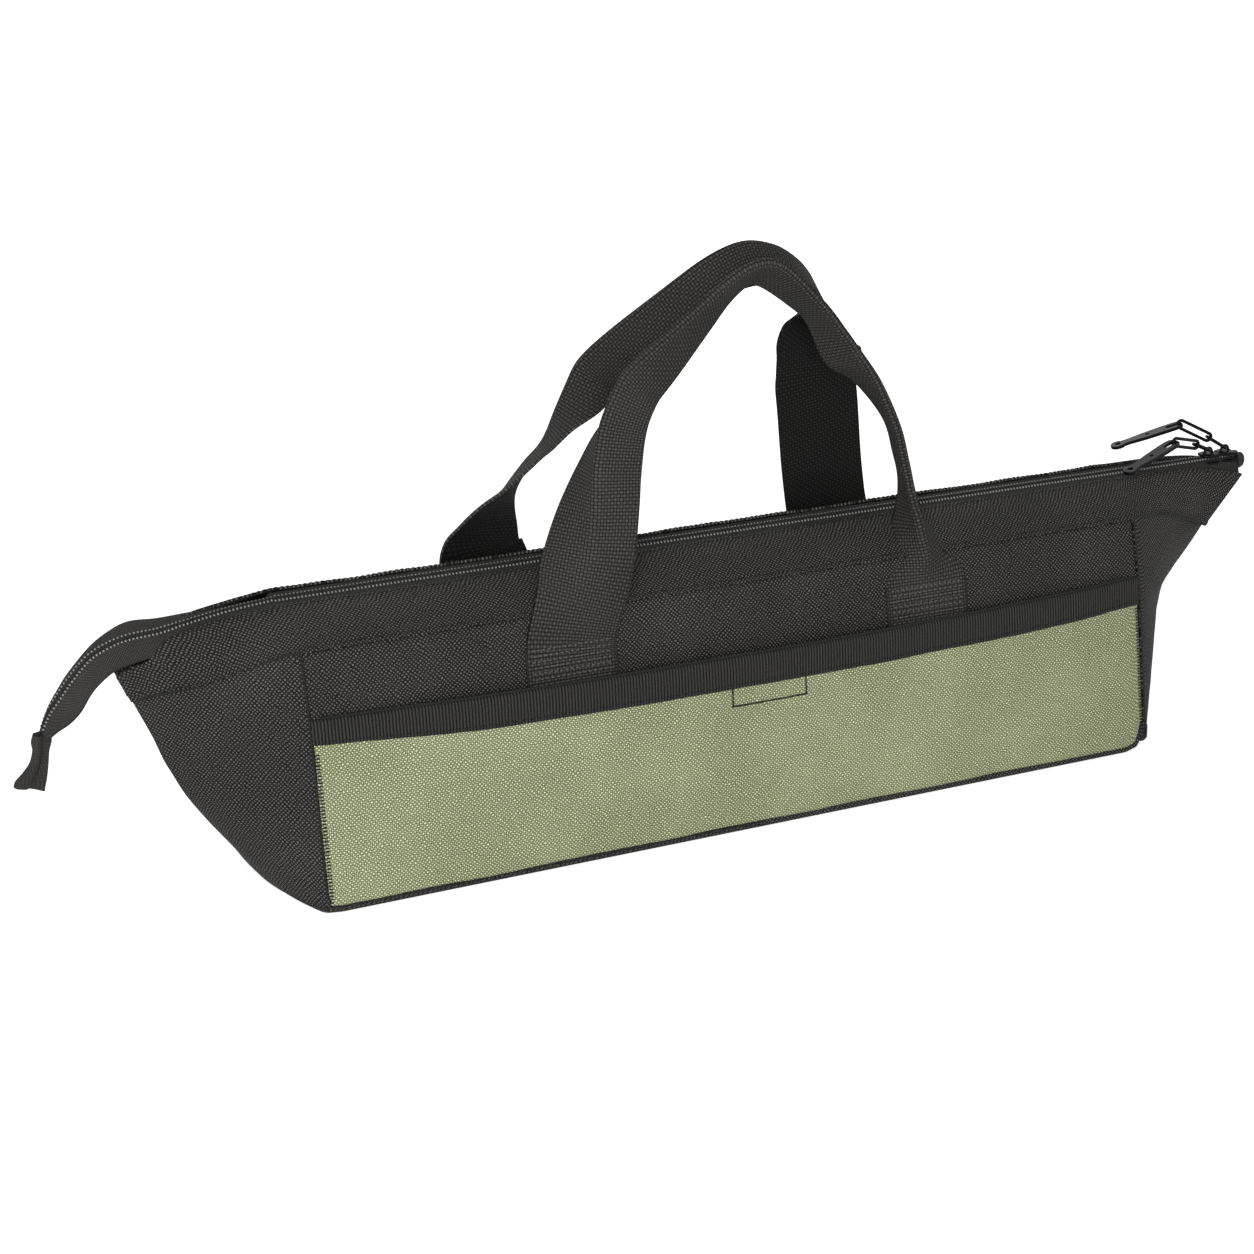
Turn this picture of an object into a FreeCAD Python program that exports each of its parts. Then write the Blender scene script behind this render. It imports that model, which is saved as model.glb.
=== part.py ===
import FreeCAD, Part
import math
import os
import Sketcher

# Zippered tool bag: a long cloth bag with a flat bottom, walls that lean in to a zip along the top,
# end gussets that fold out into pointed wings, a sewn pocket on each long side and two webbing handles.
# Frame: X along the bag, Y from front to back, Z up, origin at the middle of the bottom, millimetres.

SIZES = {
    # bottom panel and the board that keeps it flat
    "base_length": 500.0,
    "base_width": 130.0,
    "base_end_bow": 16.0,
    "base_lip": 3.5,
    "base_floor": 1.6,
    "base_rim": 4.6,
    "board_thickness": 3.0,
    "board_clearance": 0.6,
    # cloth walls, from the bottom to the sewn line under the top bands
    "cloth": 1.6,
    "sewn_gap": 0.1,
    "seam_height": 132.0,
    "seam_half_depth": 38.0,
    "band_rise": 18.0,
    # side pockets and the ribbed binding on their mouths
    "pocket_height": 98.0,
    "mouth_standoff": 2.87,
    "pocket_bulge": 9.5,
    "binding_height": 16.0,
    "binding_thickness": 0.8,
    # end gussets and the wings of the top bands
    "gusset_wall": 2.0,
    "gusset_swell": 4.0,
    "wing_reach": 77.0,
    "wing_drop": 24.5,
    "wing_tip_half_depth": 1.8,
    "left_wing_drop": 22.0,
    "left_wing_overhang": 6.0,
    "left_wing_top_half_depth": 5.3,
    "right_wing_drop": 3.0,
    "right_wing_overhang": 19.0,
    "right_wing_top_half_depth": 9.0,
    "band_edge_half_depth": 7.5,
    # zip: two cloth tapes, each with a row of teeth, a tail at the left and a stop at the right
    "tooth_pitch": 2.0,
    "tooth_length": 1.3,
    "tooth_rise": 1.8,
    "chain_half_width": 3.3,
    "chain_gap": 0.9,
    "tape_thickness": 0.7,
    "tape_flat": 6.3,
    "tape_leg": 8.5,
    "tail_flat": 3.4,
    "tail_leg": 11.5,
    "zip_end_overhang": 19.5,
    "tail_overhang": 44.0,
    "tail_drop": 53.5,
    "tail_tab_length": 27.0,
    "tail_tab_width": 12.0,
    "tail_tab_thickness": 5.0,
    "end_tab_length": 7.0,
    "end_tab_width": 11.0,
    "end_tab_height": 10.0,
    # sliders
    "slider_length": 11.3,
    "slider_width": 10.0,
    "slider_nose_width": 7.6,
    "slider_plate": 1.2,
    "slider_clearance": 0.35,
    "slider_post": 0.3,
    "slider_post_length": 3.0,
    "slider_spacing": 11.8,
    "slider_from_end": 7.0,
    "bail_length": 6.6,
    "bail_rise": 4.2,
    "bail_width": 1.6,
    "bail_hole": 3.1,
    # chain links and tabs of the two pulls
    "link_wire": 1.4,
    "link_inner_width": 4.2,
    "inner_link_pitch": 13.5,
    "outer_link_pitch": 19.5,
    "outer_link_inner_height": 3.2,
    "link_play": 1.5,
    "tab_length": 44.0,
    "tab_width": 6.8,
    "tab_thickness": 1.8,
    "tab_slot_length": 9.0,
    "tab_slot_width": 3.4,
    "tab_hole": 2.6,
    "tab_ring": 8.4,
    "tab_ring_hole": 3.6,
    # webbing handles and the patches that sew them down
    "webbing_width": 50.0,
    "webbing_thickness": 1.8,
    "handle_half_spacing": 105.0,
    "handle_rise": 176.0,
    "grip_half_depth": 25.6,
    "hinge_drop": 14.0,
    "hinge_clearance": 0.35,
    "anchor_height": 32.0,
    # how far a cut runs past the piece that it goes through
    "cut_overrun": 4.0,
}

# Angles of the pulls at rest, in degrees: how far each piece points up, and to the back.
PULL_LEANS = {
    "rear": {"inner": 31.8, "outer": 26.9, "tab": -15.6, "turn": 14.0},
    "front": {"inner": 24.0, "outer": 15.0, "tab": -14.0, "turn": -14.0},
}

# Handle routes from the left patch to the right one: place along the bag as a share of half the spacing,
# height as a share of the rise, and the angle in degrees that each half of the webbing is folded back by.
FRONT_HANDLE_SHARES = [
    (-1.00, 0.00, 0), (-0.98, 0.07, 0), (-0.94, 0.14, 1), (-0.90, 0.20, 12), (-0.84, 0.32, 34),
    (-0.70, 0.48, 54),
    (-0.60, 0.62, 64), (-0.46, 0.73, 67), (-0.22, 0.86, 70), (0.02, 0.95, 74), (0.20, 0.985, 77),
    (0.34, 0.94, 76), (0.48, 0.83, 72), (0.64, 0.68, 69), (0.80, 0.52, 66), (0.91, 0.37, 58),
    (0.97, 0.22, 32), (1.00, 0.09, 0), (1.00, 0.00, 0),
]
BACK_HANDLE_SHARES = [
    (-1.00, 0.00, 0), (-1.00, 0.08, 0), (-0.97, 0.22, 20), (-0.92, 0.35, 52), (-0.82, 0.48, 66),
    (-0.67, 0.62, 68), (-0.50, 0.76, 70), (-0.26, 0.89, 74), (-0.02, 0.97, 77), (0.17, 0.995, 77),
    (0.36, 0.94, 72), (0.52, 0.80, 62), (0.63, 0.66, 48), (0.74, 0.50, 34), (0.84, 0.36, 22),
    (0.92, 0.20, 8), (0.99, 0.08, 0), (1.00, 0.00, 0),
]

# Where the zip leaves the straight ridge at the left: shares of the tail's reach and drop.
TAIL_REACH_SHARES = [0.26, 0.545, 0.78, 0.905, 1.0]
TAIL_DROP_SHARES = [0.0, 0.095, 0.36, 0.68, 1.0]

# The rounded edge that a handle turns on: how far below the fold line, and how thick, for each step.
ROLLED_END_SHARES = [(0.5, 0.866), (0.866, 0.5)]

# How far out a pocket's mouth stands at the middle and halfway to its ends.
MID_BULGE_SHARE = 1.0
QUARTER_BULGE_SHARE = 0.75

# Depth of each rib of an end gusset, from the back seam over the middle fold to the front seam.
GUSSET_DEPTH_SHARES = (1.0, 0.5, 0.0, -0.5, -1.0)

# Strips of facets split along the other diagonal, so that the two faces of a wall bend alike.
GUSSET_TURNED_STRIPS = (3, 4)
HANDLE_TURNED_STRIPS = (2, 5)

# Angles in degrees of the zip tape's outer leg: below the band's slope along the ridge, and in the wings.
RIDGE_LEG_DROOP = 5.0
RIGHT_LEG_ANGLE = 96.0
LEFT_LEG_ANGLE = 94.0
# The shares of the left wing over which the tape's leg turns down and its flat part narrows.
LEFT_TURN_SHARE = 0.15
LEFT_NARROW_SHARE = 0.4
TAIL_STATION_COUNT = 13
# The back row of teeth sits this share of a pitch off from the front row.
STAGGER_SHARE = 0.5

# The tab on the tail: place along it, width and thickness of each section.
TAIL_TAB_SHARES = [(0.0, 0.75, 1.0), (0.3, 0.7, 0.8), (1.0, 1.0, 0.5)]
END_TAB_TOP_SHARE = 0.7
END_TAB_LOW_SHARE = 0.5
ARCH_SHOULDER_SHARE = 0.6
ARCH_TOP_SHARE = 0.3
TAB_HEAD_SHARE = 0.7
TAB_WAIST_SHARE = 0.3
TAB_HOLE_SHARE = 0.48

# Heights that follow the sewn line: the zip's ridge, the low tip of the wings and the handles' fold line.
RIDGE = "($seam_height + $band_rise)"
WING_LOW = "($seam_height - $wing_drop)"
HINGE = "($seam_height - $hinge_drop)"
# How far out the zip goes: to the end of its tapes at the right, and along the tail at the left.
ZIP_END = "($base_length / 2 + $wing_reach + $zip_end_overhang)"
TAIL_REACH = "($wing_reach + $tail_overhang)"
# The outer face of a long wall: half depth at its foot and head, and the height of its top edge.
PANEL_FOOT = "($base_width / 2 - $cloth - $sewn_gap)"
PANEL_HEAD = "($seam_half_depth + $sewn_gap)"
PANEL_TOP = "($seam_height - $cloth)"

# A first angle in degrees that fixes the axis of a tilted sketch before its formula sets the angle.
FIRST_TILT = 1.0

V = FreeCAD.Vector
X_AXIS = V(1, 0, 0)
Y_AXIS = V(0, 1, 0)
Z_AXIS = V(0, 0, 1)
SIDES = {"front": -1, "back": 1}
ENDS = {"left": -1, "right": 1}

doc = FreeCAD.newDocument("tool_bag")
sheet = doc.addObject("Spreadsheet::Sheet", "sizes")
for row, (alias, value) in enumerate(SIZES.items(), start=1):
    sheet.set("A%d" % row, alias)
    sheet.set("B%d" % row, str(value))
    sheet.setAlias("B%d" % row, alias)
doc.recompute()

NODES = []


def size(alias):
    """Reads one driving dimension."""
    return float(sheet.get(alias))


def bound(words):
    """Turns a formula in plain aliases into an expression on the sheet."""
    for alias in sorted(SIZES, key=len, reverse=True):
        words = words.replace("$" + alias, "sizes." + alias)
    return words


def amount(words):
    """The present value of a formula."""
    return float(sheet.evalExpression(bound(words)))


def spot(across, up):
    return V(amount(across), amount(up), 0)


def panel_face_words(height):
    """Half depth of a long wall's outer face at a height."""
    rise = "((%s - $base_lip) / (%s - $base_lip))" % (height, PANEL_TOP)
    return "(%s + (%s - %s) * %s)" % (PANEL_FOOT, PANEL_HEAD, PANEL_FOOT, rise)


def flat_face(corners):
    return Part.Face(Part.makePolygon(corners + corners[:1]))


def faceted(rings, turned=()):
    """A solid of flat facets through rings of points; turned strips are split the other way."""
    faces = [flat_face(rings[0][::-1]), flat_face(rings[-1])]
    for ring, following in zip(rings, rings[1:]):
        count = len(ring)
        for number in range(count):
            after = (number + 1) % count
            near, far = ring[number], following[after]
            if number in turned:
                faces.append(flat_face([near, ring[after], following[number]]))
                faces.append(flat_face([ring[after], far, following[number]]))
            else:
                faces.append(flat_face([near, ring[after], far]))
                faces.append(flat_face([near, far, following[number]]))
    solid = Part.makeSolid(Part.makeShell(faces))
    if solid.Volume < 0:
        solid.reverse()
    return solid


def new_body(label):
    body = doc.addObject("PartDesign::Body", label)
    body.Label = label
    NODES.append(body)
    return body


def new_feature(label, shape):
    """A piece whose sections turn in space, set from the sheet's sizes."""
    feature = doc.addObject("Part::Feature", label)
    feature.Label = label
    feature.Shape = shape
    feature.Placement = FreeCAD.Placement()
    NODES.append(feature)
    return feature


def new_sketch(body, name, role, offset=(None, None, None), tilt=None):
    """A sketch on one of the body's own planes, moved and tilted by formulas."""
    plane = [item for item in body.Origin.OriginFeatures if item.Role == role][0]
    sketch = body.newObject("Sketcher::SketchObject", name)
    sketch.AttachmentSupport = [(plane, "")]
    sketch.MapMode = "FlatFace"
    if tilt:
        sketch.AttachmentOffset = FreeCAD.Placement(V(), FreeCAD.Rotation(X_AXIS, FIRST_TILT))
        sketch.setExpression("AttachmentOffset.Rotation.Angle", bound(tilt))
    for axis, words in zip("xyz", offset):
        if words:
            sketch.setExpression("AttachmentOffset.Base." + axis, bound(words))
    return sketch


def pin(sketch, geometry, end, across, up):
    """Ties one point of a sketch to two formulas, measured from its origin."""
    for kind, words in (("DistanceX", across), ("DistanceY", up)):
        index = sketch.addConstraint(Sketcher.Constraint(kind, -1, 1, geometry, end, amount(words)))
        sketch.setExpression("Constraints[%d]" % index, bound(words))


def polygon(sketch, points):
    """A closed outline of straight lines through points given as pairs of formulas."""
    count = len(points)
    first = sketch.GeometryCount
    spots = [spot(across, up) for across, up in points]
    for number in range(count):
        sketch.addGeometry(Part.LineSegment(spots[number], spots[(number + 1) % count]), False)
    for number in range(count):
        follower = first + (number + 1) % count
        sketch.addConstraint(Sketcher.Constraint("Coincident", first + number, 2, follower, 1))
    for number, (across, up) in enumerate(points):
        pin(sketch, first + number, 1, across, up)
    return sketch


def circle(sketch, across, up, diameter):
    index = sketch.addGeometry(Part.Circle(spot(across, up), Z_AXIS, amount(diameter) / 2), False)
    pin(sketch, index, 3, across, up)
    radius = sketch.addConstraint(Sketcher.Constraint("Radius", index, amount(diameter) / 2))
    sketch.setExpression("Constraints[%d]" % radius, bound("(%s) / 2" % diameter))


def slot(sketch, left, right, half_width):
    """A long hole with round ends, along the sketch's first axis."""
    near, far, half = amount(left), amount(right), amount(half_width)
    top = sketch.addGeometry(Part.LineSegment(V(near, half, 0), V(far, half, 0)), False)
    low = sketch.addGeometry(Part.LineSegment(V(far, -half, 0), V(near, -half, 0)), False)
    far_arc = Part.Arc(V(far, -half, 0), V(far + half, 0, 0), V(far, half, 0))
    near_arc = Part.Arc(V(near, half, 0), V(near - half, 0, 0), V(near, -half, 0))
    for arc, centre, top_end, low_end in ((far_arc, right, 2, 1), (near_arc, left, 1, 2)):
        index = sketch.addGeometry(arc, False)
        sketch.addConstraint(Sketcher.Constraint("Tangent", top, top_end, index, top_end))
        sketch.addConstraint(Sketcher.Constraint("Tangent", low, low_end, index, low_end))
        pin(sketch, index, 3, centre, "0")
    radius = sketch.addConstraint(Sketcher.Constraint("Radius", index, half))
    sketch.setExpression("Constraints[%d]" % radius, bound(half_width))


def bowed_outline(sketch, half_length, half_width, bow):
    """The bottom's outline: two straight long sides and two bowed ends."""
    corners = [(-1, -1), (1, -1), (1, 1), (-1, 1)]
    spots = [V(amount(half_length) * across, amount(half_width) * up, 0) for across, up in corners]
    end = V(amount(half_length) + amount(bow), 0, 0)
    front = sketch.addGeometry(Part.LineSegment(spots[0], spots[1]), False)
    right = sketch.addGeometry(Part.Arc(spots[1], end, spots[2]), False)
    back = sketch.addGeometry(Part.LineSegment(spots[2], spots[3]), False)
    left = sketch.addGeometry(Part.Arc(spots[3], end * -1, spots[0]), False)
    for geometry, line_end, (across, up) in zip((front, front, back, back), (1, 2, 1, 2), corners):
        pin(sketch, geometry, line_end, "%d * (%s)" % (across, half_length), "%d * (%s)" % (up, half_width))
    corners_met = ((front, 2, right, 1), (back, 1, right, 2), (back, 2, left, 1), (front, 1, left, 2))
    for line, first, arc, second in corners_met:
        sketch.addConstraint(Sketcher.Constraint("Coincident", line, first, arc, second))
    radius_words = "((%s) * (%s) + (%s) * (%s)) / (2 * (%s))" % (half_width, half_width, bow, bow, bow)
    for arc in (right, left):
        radius = sketch.addConstraint(Sketcher.Constraint("Radius", arc, amount(radius_words)))
        sketch.setExpression("Constraints[%d]" % radius, bound(radius_words))


def pad(body, name, sketch, length, symmetric=False):
    feature = body.newObject("PartDesign::Pad", name)
    feature.Profile = sketch
    feature.SideType = "Symmetric" if symmetric else "One side"
    feature.setExpression("Length", bound(length))
    doc.recompute()
    return feature


def pocket(body, name, sketch, length, symmetric=False):
    """A cut, which has to take something away."""
    before = body.Shape.Volume
    feature = body.newObject("PartDesign::Pocket", name)
    feature.Profile = sketch
    feature.SideType = "Symmetric" if symmetric else "One side"
    feature.setExpression("Length", bound(length))
    doc.recompute()
    if body.Shape.Volume >= before:
        raise RuntimeError("%s cut nothing" % name)
    return feature


def loft(body, name, sketches, ruled):
    feature = body.newObject("PartDesign::AdditiveLoft", name)
    feature.Profile = sketches[0]
    feature.Sections = sketches[1:]
    feature.Ruled = ruled
    doc.recompute()
    return feature


def base_panel():
    """The bottom cloth: a shallow tray whose rim carries the walls."""
    body = new_body("base_panel")
    outline = new_sketch(body, "base_outline", "XY_Plane")
    bowed_outline(outline, "$base_length / 2", "$base_width / 2", "$base_end_bow")
    pad(body, "base_block", outline, "$base_lip")
    hollow = new_sketch(body, "base_hollow", "XY_Plane", (None, None, "$base_lip"))
    bowed_outline(hollow, "$base_length / 2 - $base_rim", "$base_width / 2 - $base_rim", "$base_end_bow")
    pocket(body, "base_tray", hollow, "$base_lip - $base_floor")


def base_board():
    """The stiff board that lies in the tray."""
    body = new_body("base_board")
    outline = new_sketch(body, "board_outline", "XY_Plane", (None, None, "$base_floor"))
    inset = "$base_rim - $board_clearance"
    bowed_outline(outline, "$base_length / 2 - " + inset, "$base_width / 2 - " + inset, "$base_end_bow")
    pad(body, "board", outline, "$board_thickness")


def wall_panel(side, sign):
    """The long wall behind a pocket, flat from the tray's rim to the sewn line."""
    body = new_body(side + "_panel")
    profile = new_sketch(body, side + "_panel_profile", "YZ_Plane")
    polygon(profile, [
        ("%d * %s" % (sign, PANEL_FOOT), "$base_lip"),
        ("%d * %s" % (sign, PANEL_HEAD), PANEL_TOP),
        ("%d * (%s - $cloth)" % (sign, PANEL_HEAD), PANEL_TOP),
        ("%d * (%s - $cloth)" % (sign, PANEL_FOOT), "$base_lip"),
    ])
    pad(body, side + "_wall", profile, "$base_length - 2 * ($gusset_wall + $sewn_gap)", symmetric=True)


def pocket_stations():
    """Places along a pocket, with the share of the bulge that its mouth has there."""
    half = "($base_length / 2 - $gusset_wall - $sewn_gap)"
    return [
        ("-" + half, 0.0),
        ("-" + half + " / 2", QUARTER_BULGE_SHARE),
        ("0", MID_BULGE_SHARE),
        (half + " / 2", QUARTER_BULGE_SHARE),
        (half, 0.0),
    ]


def mouth_words(share):
    return "(%s + $mouth_standoff + %s * $pocket_bulge)" % (panel_face_words("$pocket_height"), share)


def pocket_face_words(share, height):
    """Half depth of a pocket's outer face at a height."""
    rise = "((%s - $base_lip) / ($pocket_height - $base_lip))" % height
    return "($base_width / 2 - ($base_width / 2 - %s) * %s)" % (mouth_words(share), rise)


def side_pocket(side, sign):
    """The pocket's cloth, sewn down at the ends and bulging at the mouth."""
    body = new_body(side + "_pocket")
    sections = []
    top = "($pocket_height - $binding_thickness - $sewn_gap)"
    for number, (place, share) in enumerate(pocket_stations()):
        section = new_sketch(body, "%s_pocket_section_%d" % (side, number), "YZ_Plane", (None, None, place))
        foot = "$base_width / 2"
        head = pocket_face_words(share, top)
        sections.append(polygon(section, [
            ("%d * %s" % (sign, foot), "$base_lip"),
            ("%d * %s" % (sign, head), top),
            ("%d * (%s - $cloth)" % (sign, head), top),
            ("%d * (%s - $cloth)" % (sign, foot), "$base_lip"),
        ]))
    loft(body, side + "_pocket_cloth", sections, ruled=False)


def pocket_binding(side, sign):
    """The ribbed tape folded over the pocket's mouth."""
    body = new_body(side + "_pocket_binding")
    sections = []
    low = "($pocket_height - $binding_height)"
    under = "($pocket_height - $binding_thickness)"
    for number, (place, share) in enumerate(pocket_stations()):
        section = new_sketch(body, "%s_binding_section_%d" % (side, number), "YZ_Plane", (None, None, place))
        face_low = pocket_face_words(share, low)
        face_under = pocket_face_words(share, under)
        face_top = pocket_face_words(share, "$pocket_height")
        outer = "+ $sewn_gap + $binding_thickness"
        inner = "- $cloth - $sewn_gap - $binding_thickness"
        points = [
            (face_low + outer, low),
            (face_top + outer, "$pocket_height"),
            (face_top + inner, "$pocket_height"),
            (face_low + inner, low),
            (face_low + " - $cloth - $sewn_gap", low),
            (face_under + " - $cloth - $sewn_gap", under),
            (face_under + " + $sewn_gap", under),
            (face_low + " + $sewn_gap", low),
        ]
        sections.append(polygon(section, [("%d * (%s)" % (sign, across), up) for across, up in points]))
    loft(body, side + "_binding_fold", sections, ruled=False)


def gusset(end, sign):
    """An end wall: ribs from the front seam, over the middle fold, to the back seam."""
    half_length = size("base_length") / 2
    half_width = size("base_width") / 2
    lip = size("base_lip")
    wall = X_AXIS * sign * size("gusset_wall")
    lean = (half_width - size("seam_half_depth")) / size("seam_height")
    ribs = []
    for depth_share in GUSSET_DEPTH_SHARES:
        fold_share = 1.0 - abs(depth_share)
        bow_share = 1.0 - depth_share * depth_share
        top = size("seam_height") - fold_share * size("wing_drop") - size("cloth")
        foot = half_length + bow_share * size("base_end_bow")
        head = half_length + fold_share * size("wing_reach")
        waist = (foot + head) / 2 + fold_share * size("gusset_swell")
        outer = []
        for across, height in ((foot, lip), (waist, (lip + top) / 2), (head, top)):
            outer.append(V(sign * across, depth_share * (half_width - height * lean), height))
        inner = [corner - wall for corner in reversed(outer)]
        ribs.append(outer + inner)
    new_feature(end + "_gusset", faceted(ribs, GUSSET_TURNED_STRIPS))


def band_slope():
    """The slope of the top bands between the sewn line and the zip, in degrees."""
    inset = size("seam_half_depth") - size("band_edge_half_depth")
    return math.degrees(math.atan2(size("band_rise"), inset))


def top_band(side, sign):
    """The band between the sewn line and the zip, with a wing at each end."""
    body = new_body(side + "_top_band")
    slope = "atan($band_rise / ($seam_half_depth - $band_edge_half_depth))"
    into = "$cloth * sin(%s)" % slope
    under = "$cloth * cos(%s)" % slope
    middle = [
        ("$seam_half_depth", "$seam_height"),
        ("$band_edge_half_depth", RIDGE),
        ("$band_edge_half_depth - " + into, "%s - %s" % (RIDGE, under)),
        ("$seam_half_depth - " + into, "$seam_height - " + under),
    ]
    tips = {
        "left": (-1, "$left_wing_overhang", "(%s - $left_wing_drop)" % RIDGE, "$left_wing_top_half_depth"),
        "right": (1, "$right_wing_overhang", "(%s - $right_wing_drop)" % RIDGE, "$right_wing_top_half_depth"),
    }

    def tip_section(end):
        out, overhang, top, top_depth = tips[end]
        lean = "atan(%s / (%s - %s))" % (overhang, top, WING_LOW)
        along = "/ cos(%s)" % lean
        place = "%d * ($base_length / 2 + $wing_reach - %s * tan(%s))" % (out, WING_LOW, lean)
        tilt = "%d * %s" % (out, lean)
        section = new_sketch(body, "%s_%s_tip" % (side, end), "YZ_Plane", (None, None, place), tilt)
        points = [
            ("$wing_tip_half_depth", WING_LOW),
            (top_depth, top),
            (top_depth + " - $cloth", top),
            ("$wing_tip_half_depth - $cloth", WING_LOW),
        ]
        outline = [("%d * (%s)" % (sign, across), "(%s) %s" % (up, along)) for across, up in points]
        return polygon(section, outline)

    def seam_section(end):
        section = new_sketch(body, "%s_%s_seam" % (side, end), "YZ_Plane",
                             (None, None, "%d * $base_length / 2" % ENDS[end]))
        return polygon(section, [("%d * (%s)" % (sign, across), up) for across, up in middle])

    sections = [tip_section("left"), seam_section("left"), seam_section("right"), tip_section("right")]
    loft(body, side + "_band_cloth", sections, ruled=True)


def zip_route():
    """The line of the zip's tape, from the right end along the ridge and down the left tail."""
    level = amount(RIDGE) - size("tooth_rise")
    start = -size("base_length") / 2
    points = []
    for reach, drop in zip(TAIL_REACH_SHARES, TAIL_DROP_SHARES):
        points.append(V(start - reach * amount(TAIL_REACH), 0, level - drop * size("tail_drop")))
    tail = Part.BSplineCurve()
    last = (points[-1] - points[-2]).normalize()
    tail.interpolate(Points=points, InitialTangent=-X_AXIS, FinalTangent=last)
    right = V(amount(ZIP_END), 0, level)
    return right, points[0], tail


RIGHT_END, TAIL_START, TAIL_CURVE = zip_route()
STRAIGHT_LENGTH = RIGHT_END.x - TAIL_START.x
TAIL_LENGTH = TAIL_CURVE.length()


def zip_frame(distance):
    """Place, forward and upward directions on the zip at a distance from its right end."""
    if distance <= STRAIGHT_LENGTH:
        return RIGHT_END - X_AXIS * distance, -X_AXIS, Z_AXIS
    parameter = TAIL_CURVE.parameterAtDistance(distance - STRAIGHT_LENGTH)
    forward = V(*TAIL_CURVE.tangent(parameter)[0]).normalize()
    return TAIL_CURVE.value(parameter), forward, forward.cross(Y_AXIS) * -1


def blend(start, stop, share):
    share = min(max(share, 0.0), 1.0)
    return start + (stop - start) * share


def tape_section(distance, sign):
    """The tape's outline across the zip: flat under the teeth, then a leg that follows the band."""
    place, forward, upward = zip_frame(distance)
    outwards = Y_AXIS * sign
    half_base = size("base_length") / 2
    ridge_angle = band_slope() + RIDGE_LEG_DROOP
    flat = size("tape_flat")
    leg = size("tape_leg")
    if place.x < 0:
        out = (-half_base - place.x) / size("wing_reach")
        angle = math.radians(blend(ridge_angle, LEFT_LEG_ANGLE, out / LEFT_TURN_SHARE))
        flat = blend(flat, size("tail_flat"), out / LEFT_NARROW_SHARE)
        leg = blend(leg, size("tail_leg"), out)
    else:
        out = (place.x - half_base) / size("wing_reach")
        angle = math.radians(blend(ridge_angle, RIGHT_LEG_ANGLE, out))
    thick = size("tape_thickness")
    miter = thick * math.tan(angle / 2)
    reach = V(math.cos(angle), -math.sin(angle), 0)
    inward = V(-math.sin(angle), -math.cos(angle), 0)
    corner = V(flat, 0, 0)
    tip = corner + reach * leg
    outline = [
        V(size("chain_gap") / 2, 0, 0), corner, tip,
        tip + inward * thick, V(flat - miter, -thick, 0), V(size("chain_gap") / 2, -thick, 0),
    ]
    corners = [place + outwards * point.x + upward * point.y for point in outline]
    return Part.makePolygon(corners + corners[:1])


def zip_tape(side, sign):
    """One cloth tape of the zip, from the right end to the tip of the tail."""
    half_base = size("base_length") / 2
    stations = [
        0.0,
        RIGHT_END.x - half_base - size("wing_reach"),
        RIGHT_END.x - half_base,
        RIGHT_END.x + half_base,
        RIGHT_END.x + half_base + LEFT_TURN_SHARE * size("wing_reach"),
    ]
    for number in range(TAIL_STATION_COUNT):
        stations.append(STRAIGHT_LENGTH + TAIL_LENGTH * number / (TAIL_STATION_COUNT - 1))
    shape = Part.makeLoft([tape_section(station, sign) for station in stations], True, True)
    new_feature(side + "_zip_tape", shape)


def zip_teeth(side, sign):
    """One row of teeth: ridges across the tape, set half a pitch off from the other row."""
    pitch = size("tooth_pitch")
    half = size("tooth_length") / 2
    first = pitch if sign < 0 else pitch * (1 + STAGGER_SHARE)
    count = int((STRAIGHT_LENGTH + TAIL_LENGTH - 2 * pitch) / pitch)
    teeth = []
    for number in range(count):
        place, forward, upward = zip_frame(first + number * pitch)
        inner = place + Y_AXIS * sign * size("chain_gap") / 2
        root = inner + upward * size("sewn_gap")
        face = flat_face([root - forward * half, root + forward * half, inner + upward * size("tooth_rise")])
        teeth.append(face.extrude(Y_AXIS * sign * (size("chain_half_width") - size("chain_gap") / 2)))
    new_feature(side + "_zip_teeth", Part.makeCompound(teeth))


def zip_tail_tab():
    """The folded cloth tab that covers the end of the tail."""
    place, forward, upward = zip_frame(STRAIGHT_LENGTH + TAIL_LENGTH)
    gap = size("sewn_gap")
    half_width = size("tail_tab_width") / 2
    half_thick = size("tail_tab_thickness") / 2
    centre = place - upward * half_thick
    sections = []
    for along_share, width_share, thick_share in TAIL_TAB_SHARES:
        middle = centre + forward * (gap + along_share * size("tail_tab_length"))
        across = Y_AXIS * half_width * width_share
        over = upward * half_thick * thick_share
        low = middle - over
        high = middle + over
        sections.append([low - across, low + across, high + across, high - across])
    new_feature("zip_tail_tab", faceted(sections))


def zip_end_tab():
    """The folded cloth stop over the right end of the zip."""
    body = new_body("zip_end_tab")
    profile = new_sketch(body, "end_tab_profile", "XZ_Plane")
    near = "(%s + $sewn_gap)" % ZIP_END
    far = "(%s + $end_tab_length)" % near
    top = RIDGE
    low = "(%s - $end_tab_height)" % RIDGE
    polygon(profile, [
        (near, top),
        ("%s + $end_tab_length * %s" % (near, END_TAB_TOP_SHARE), top),
        (far, "(%s + %s) / 2" % (top, low)),
        ("%s + $end_tab_length * %s" % (near, END_TAB_LOW_SHARE), low),
        (near, low),
    ])
    pad(body, "end_tab", profile, "$end_tab_width", symmetric=True)


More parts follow.
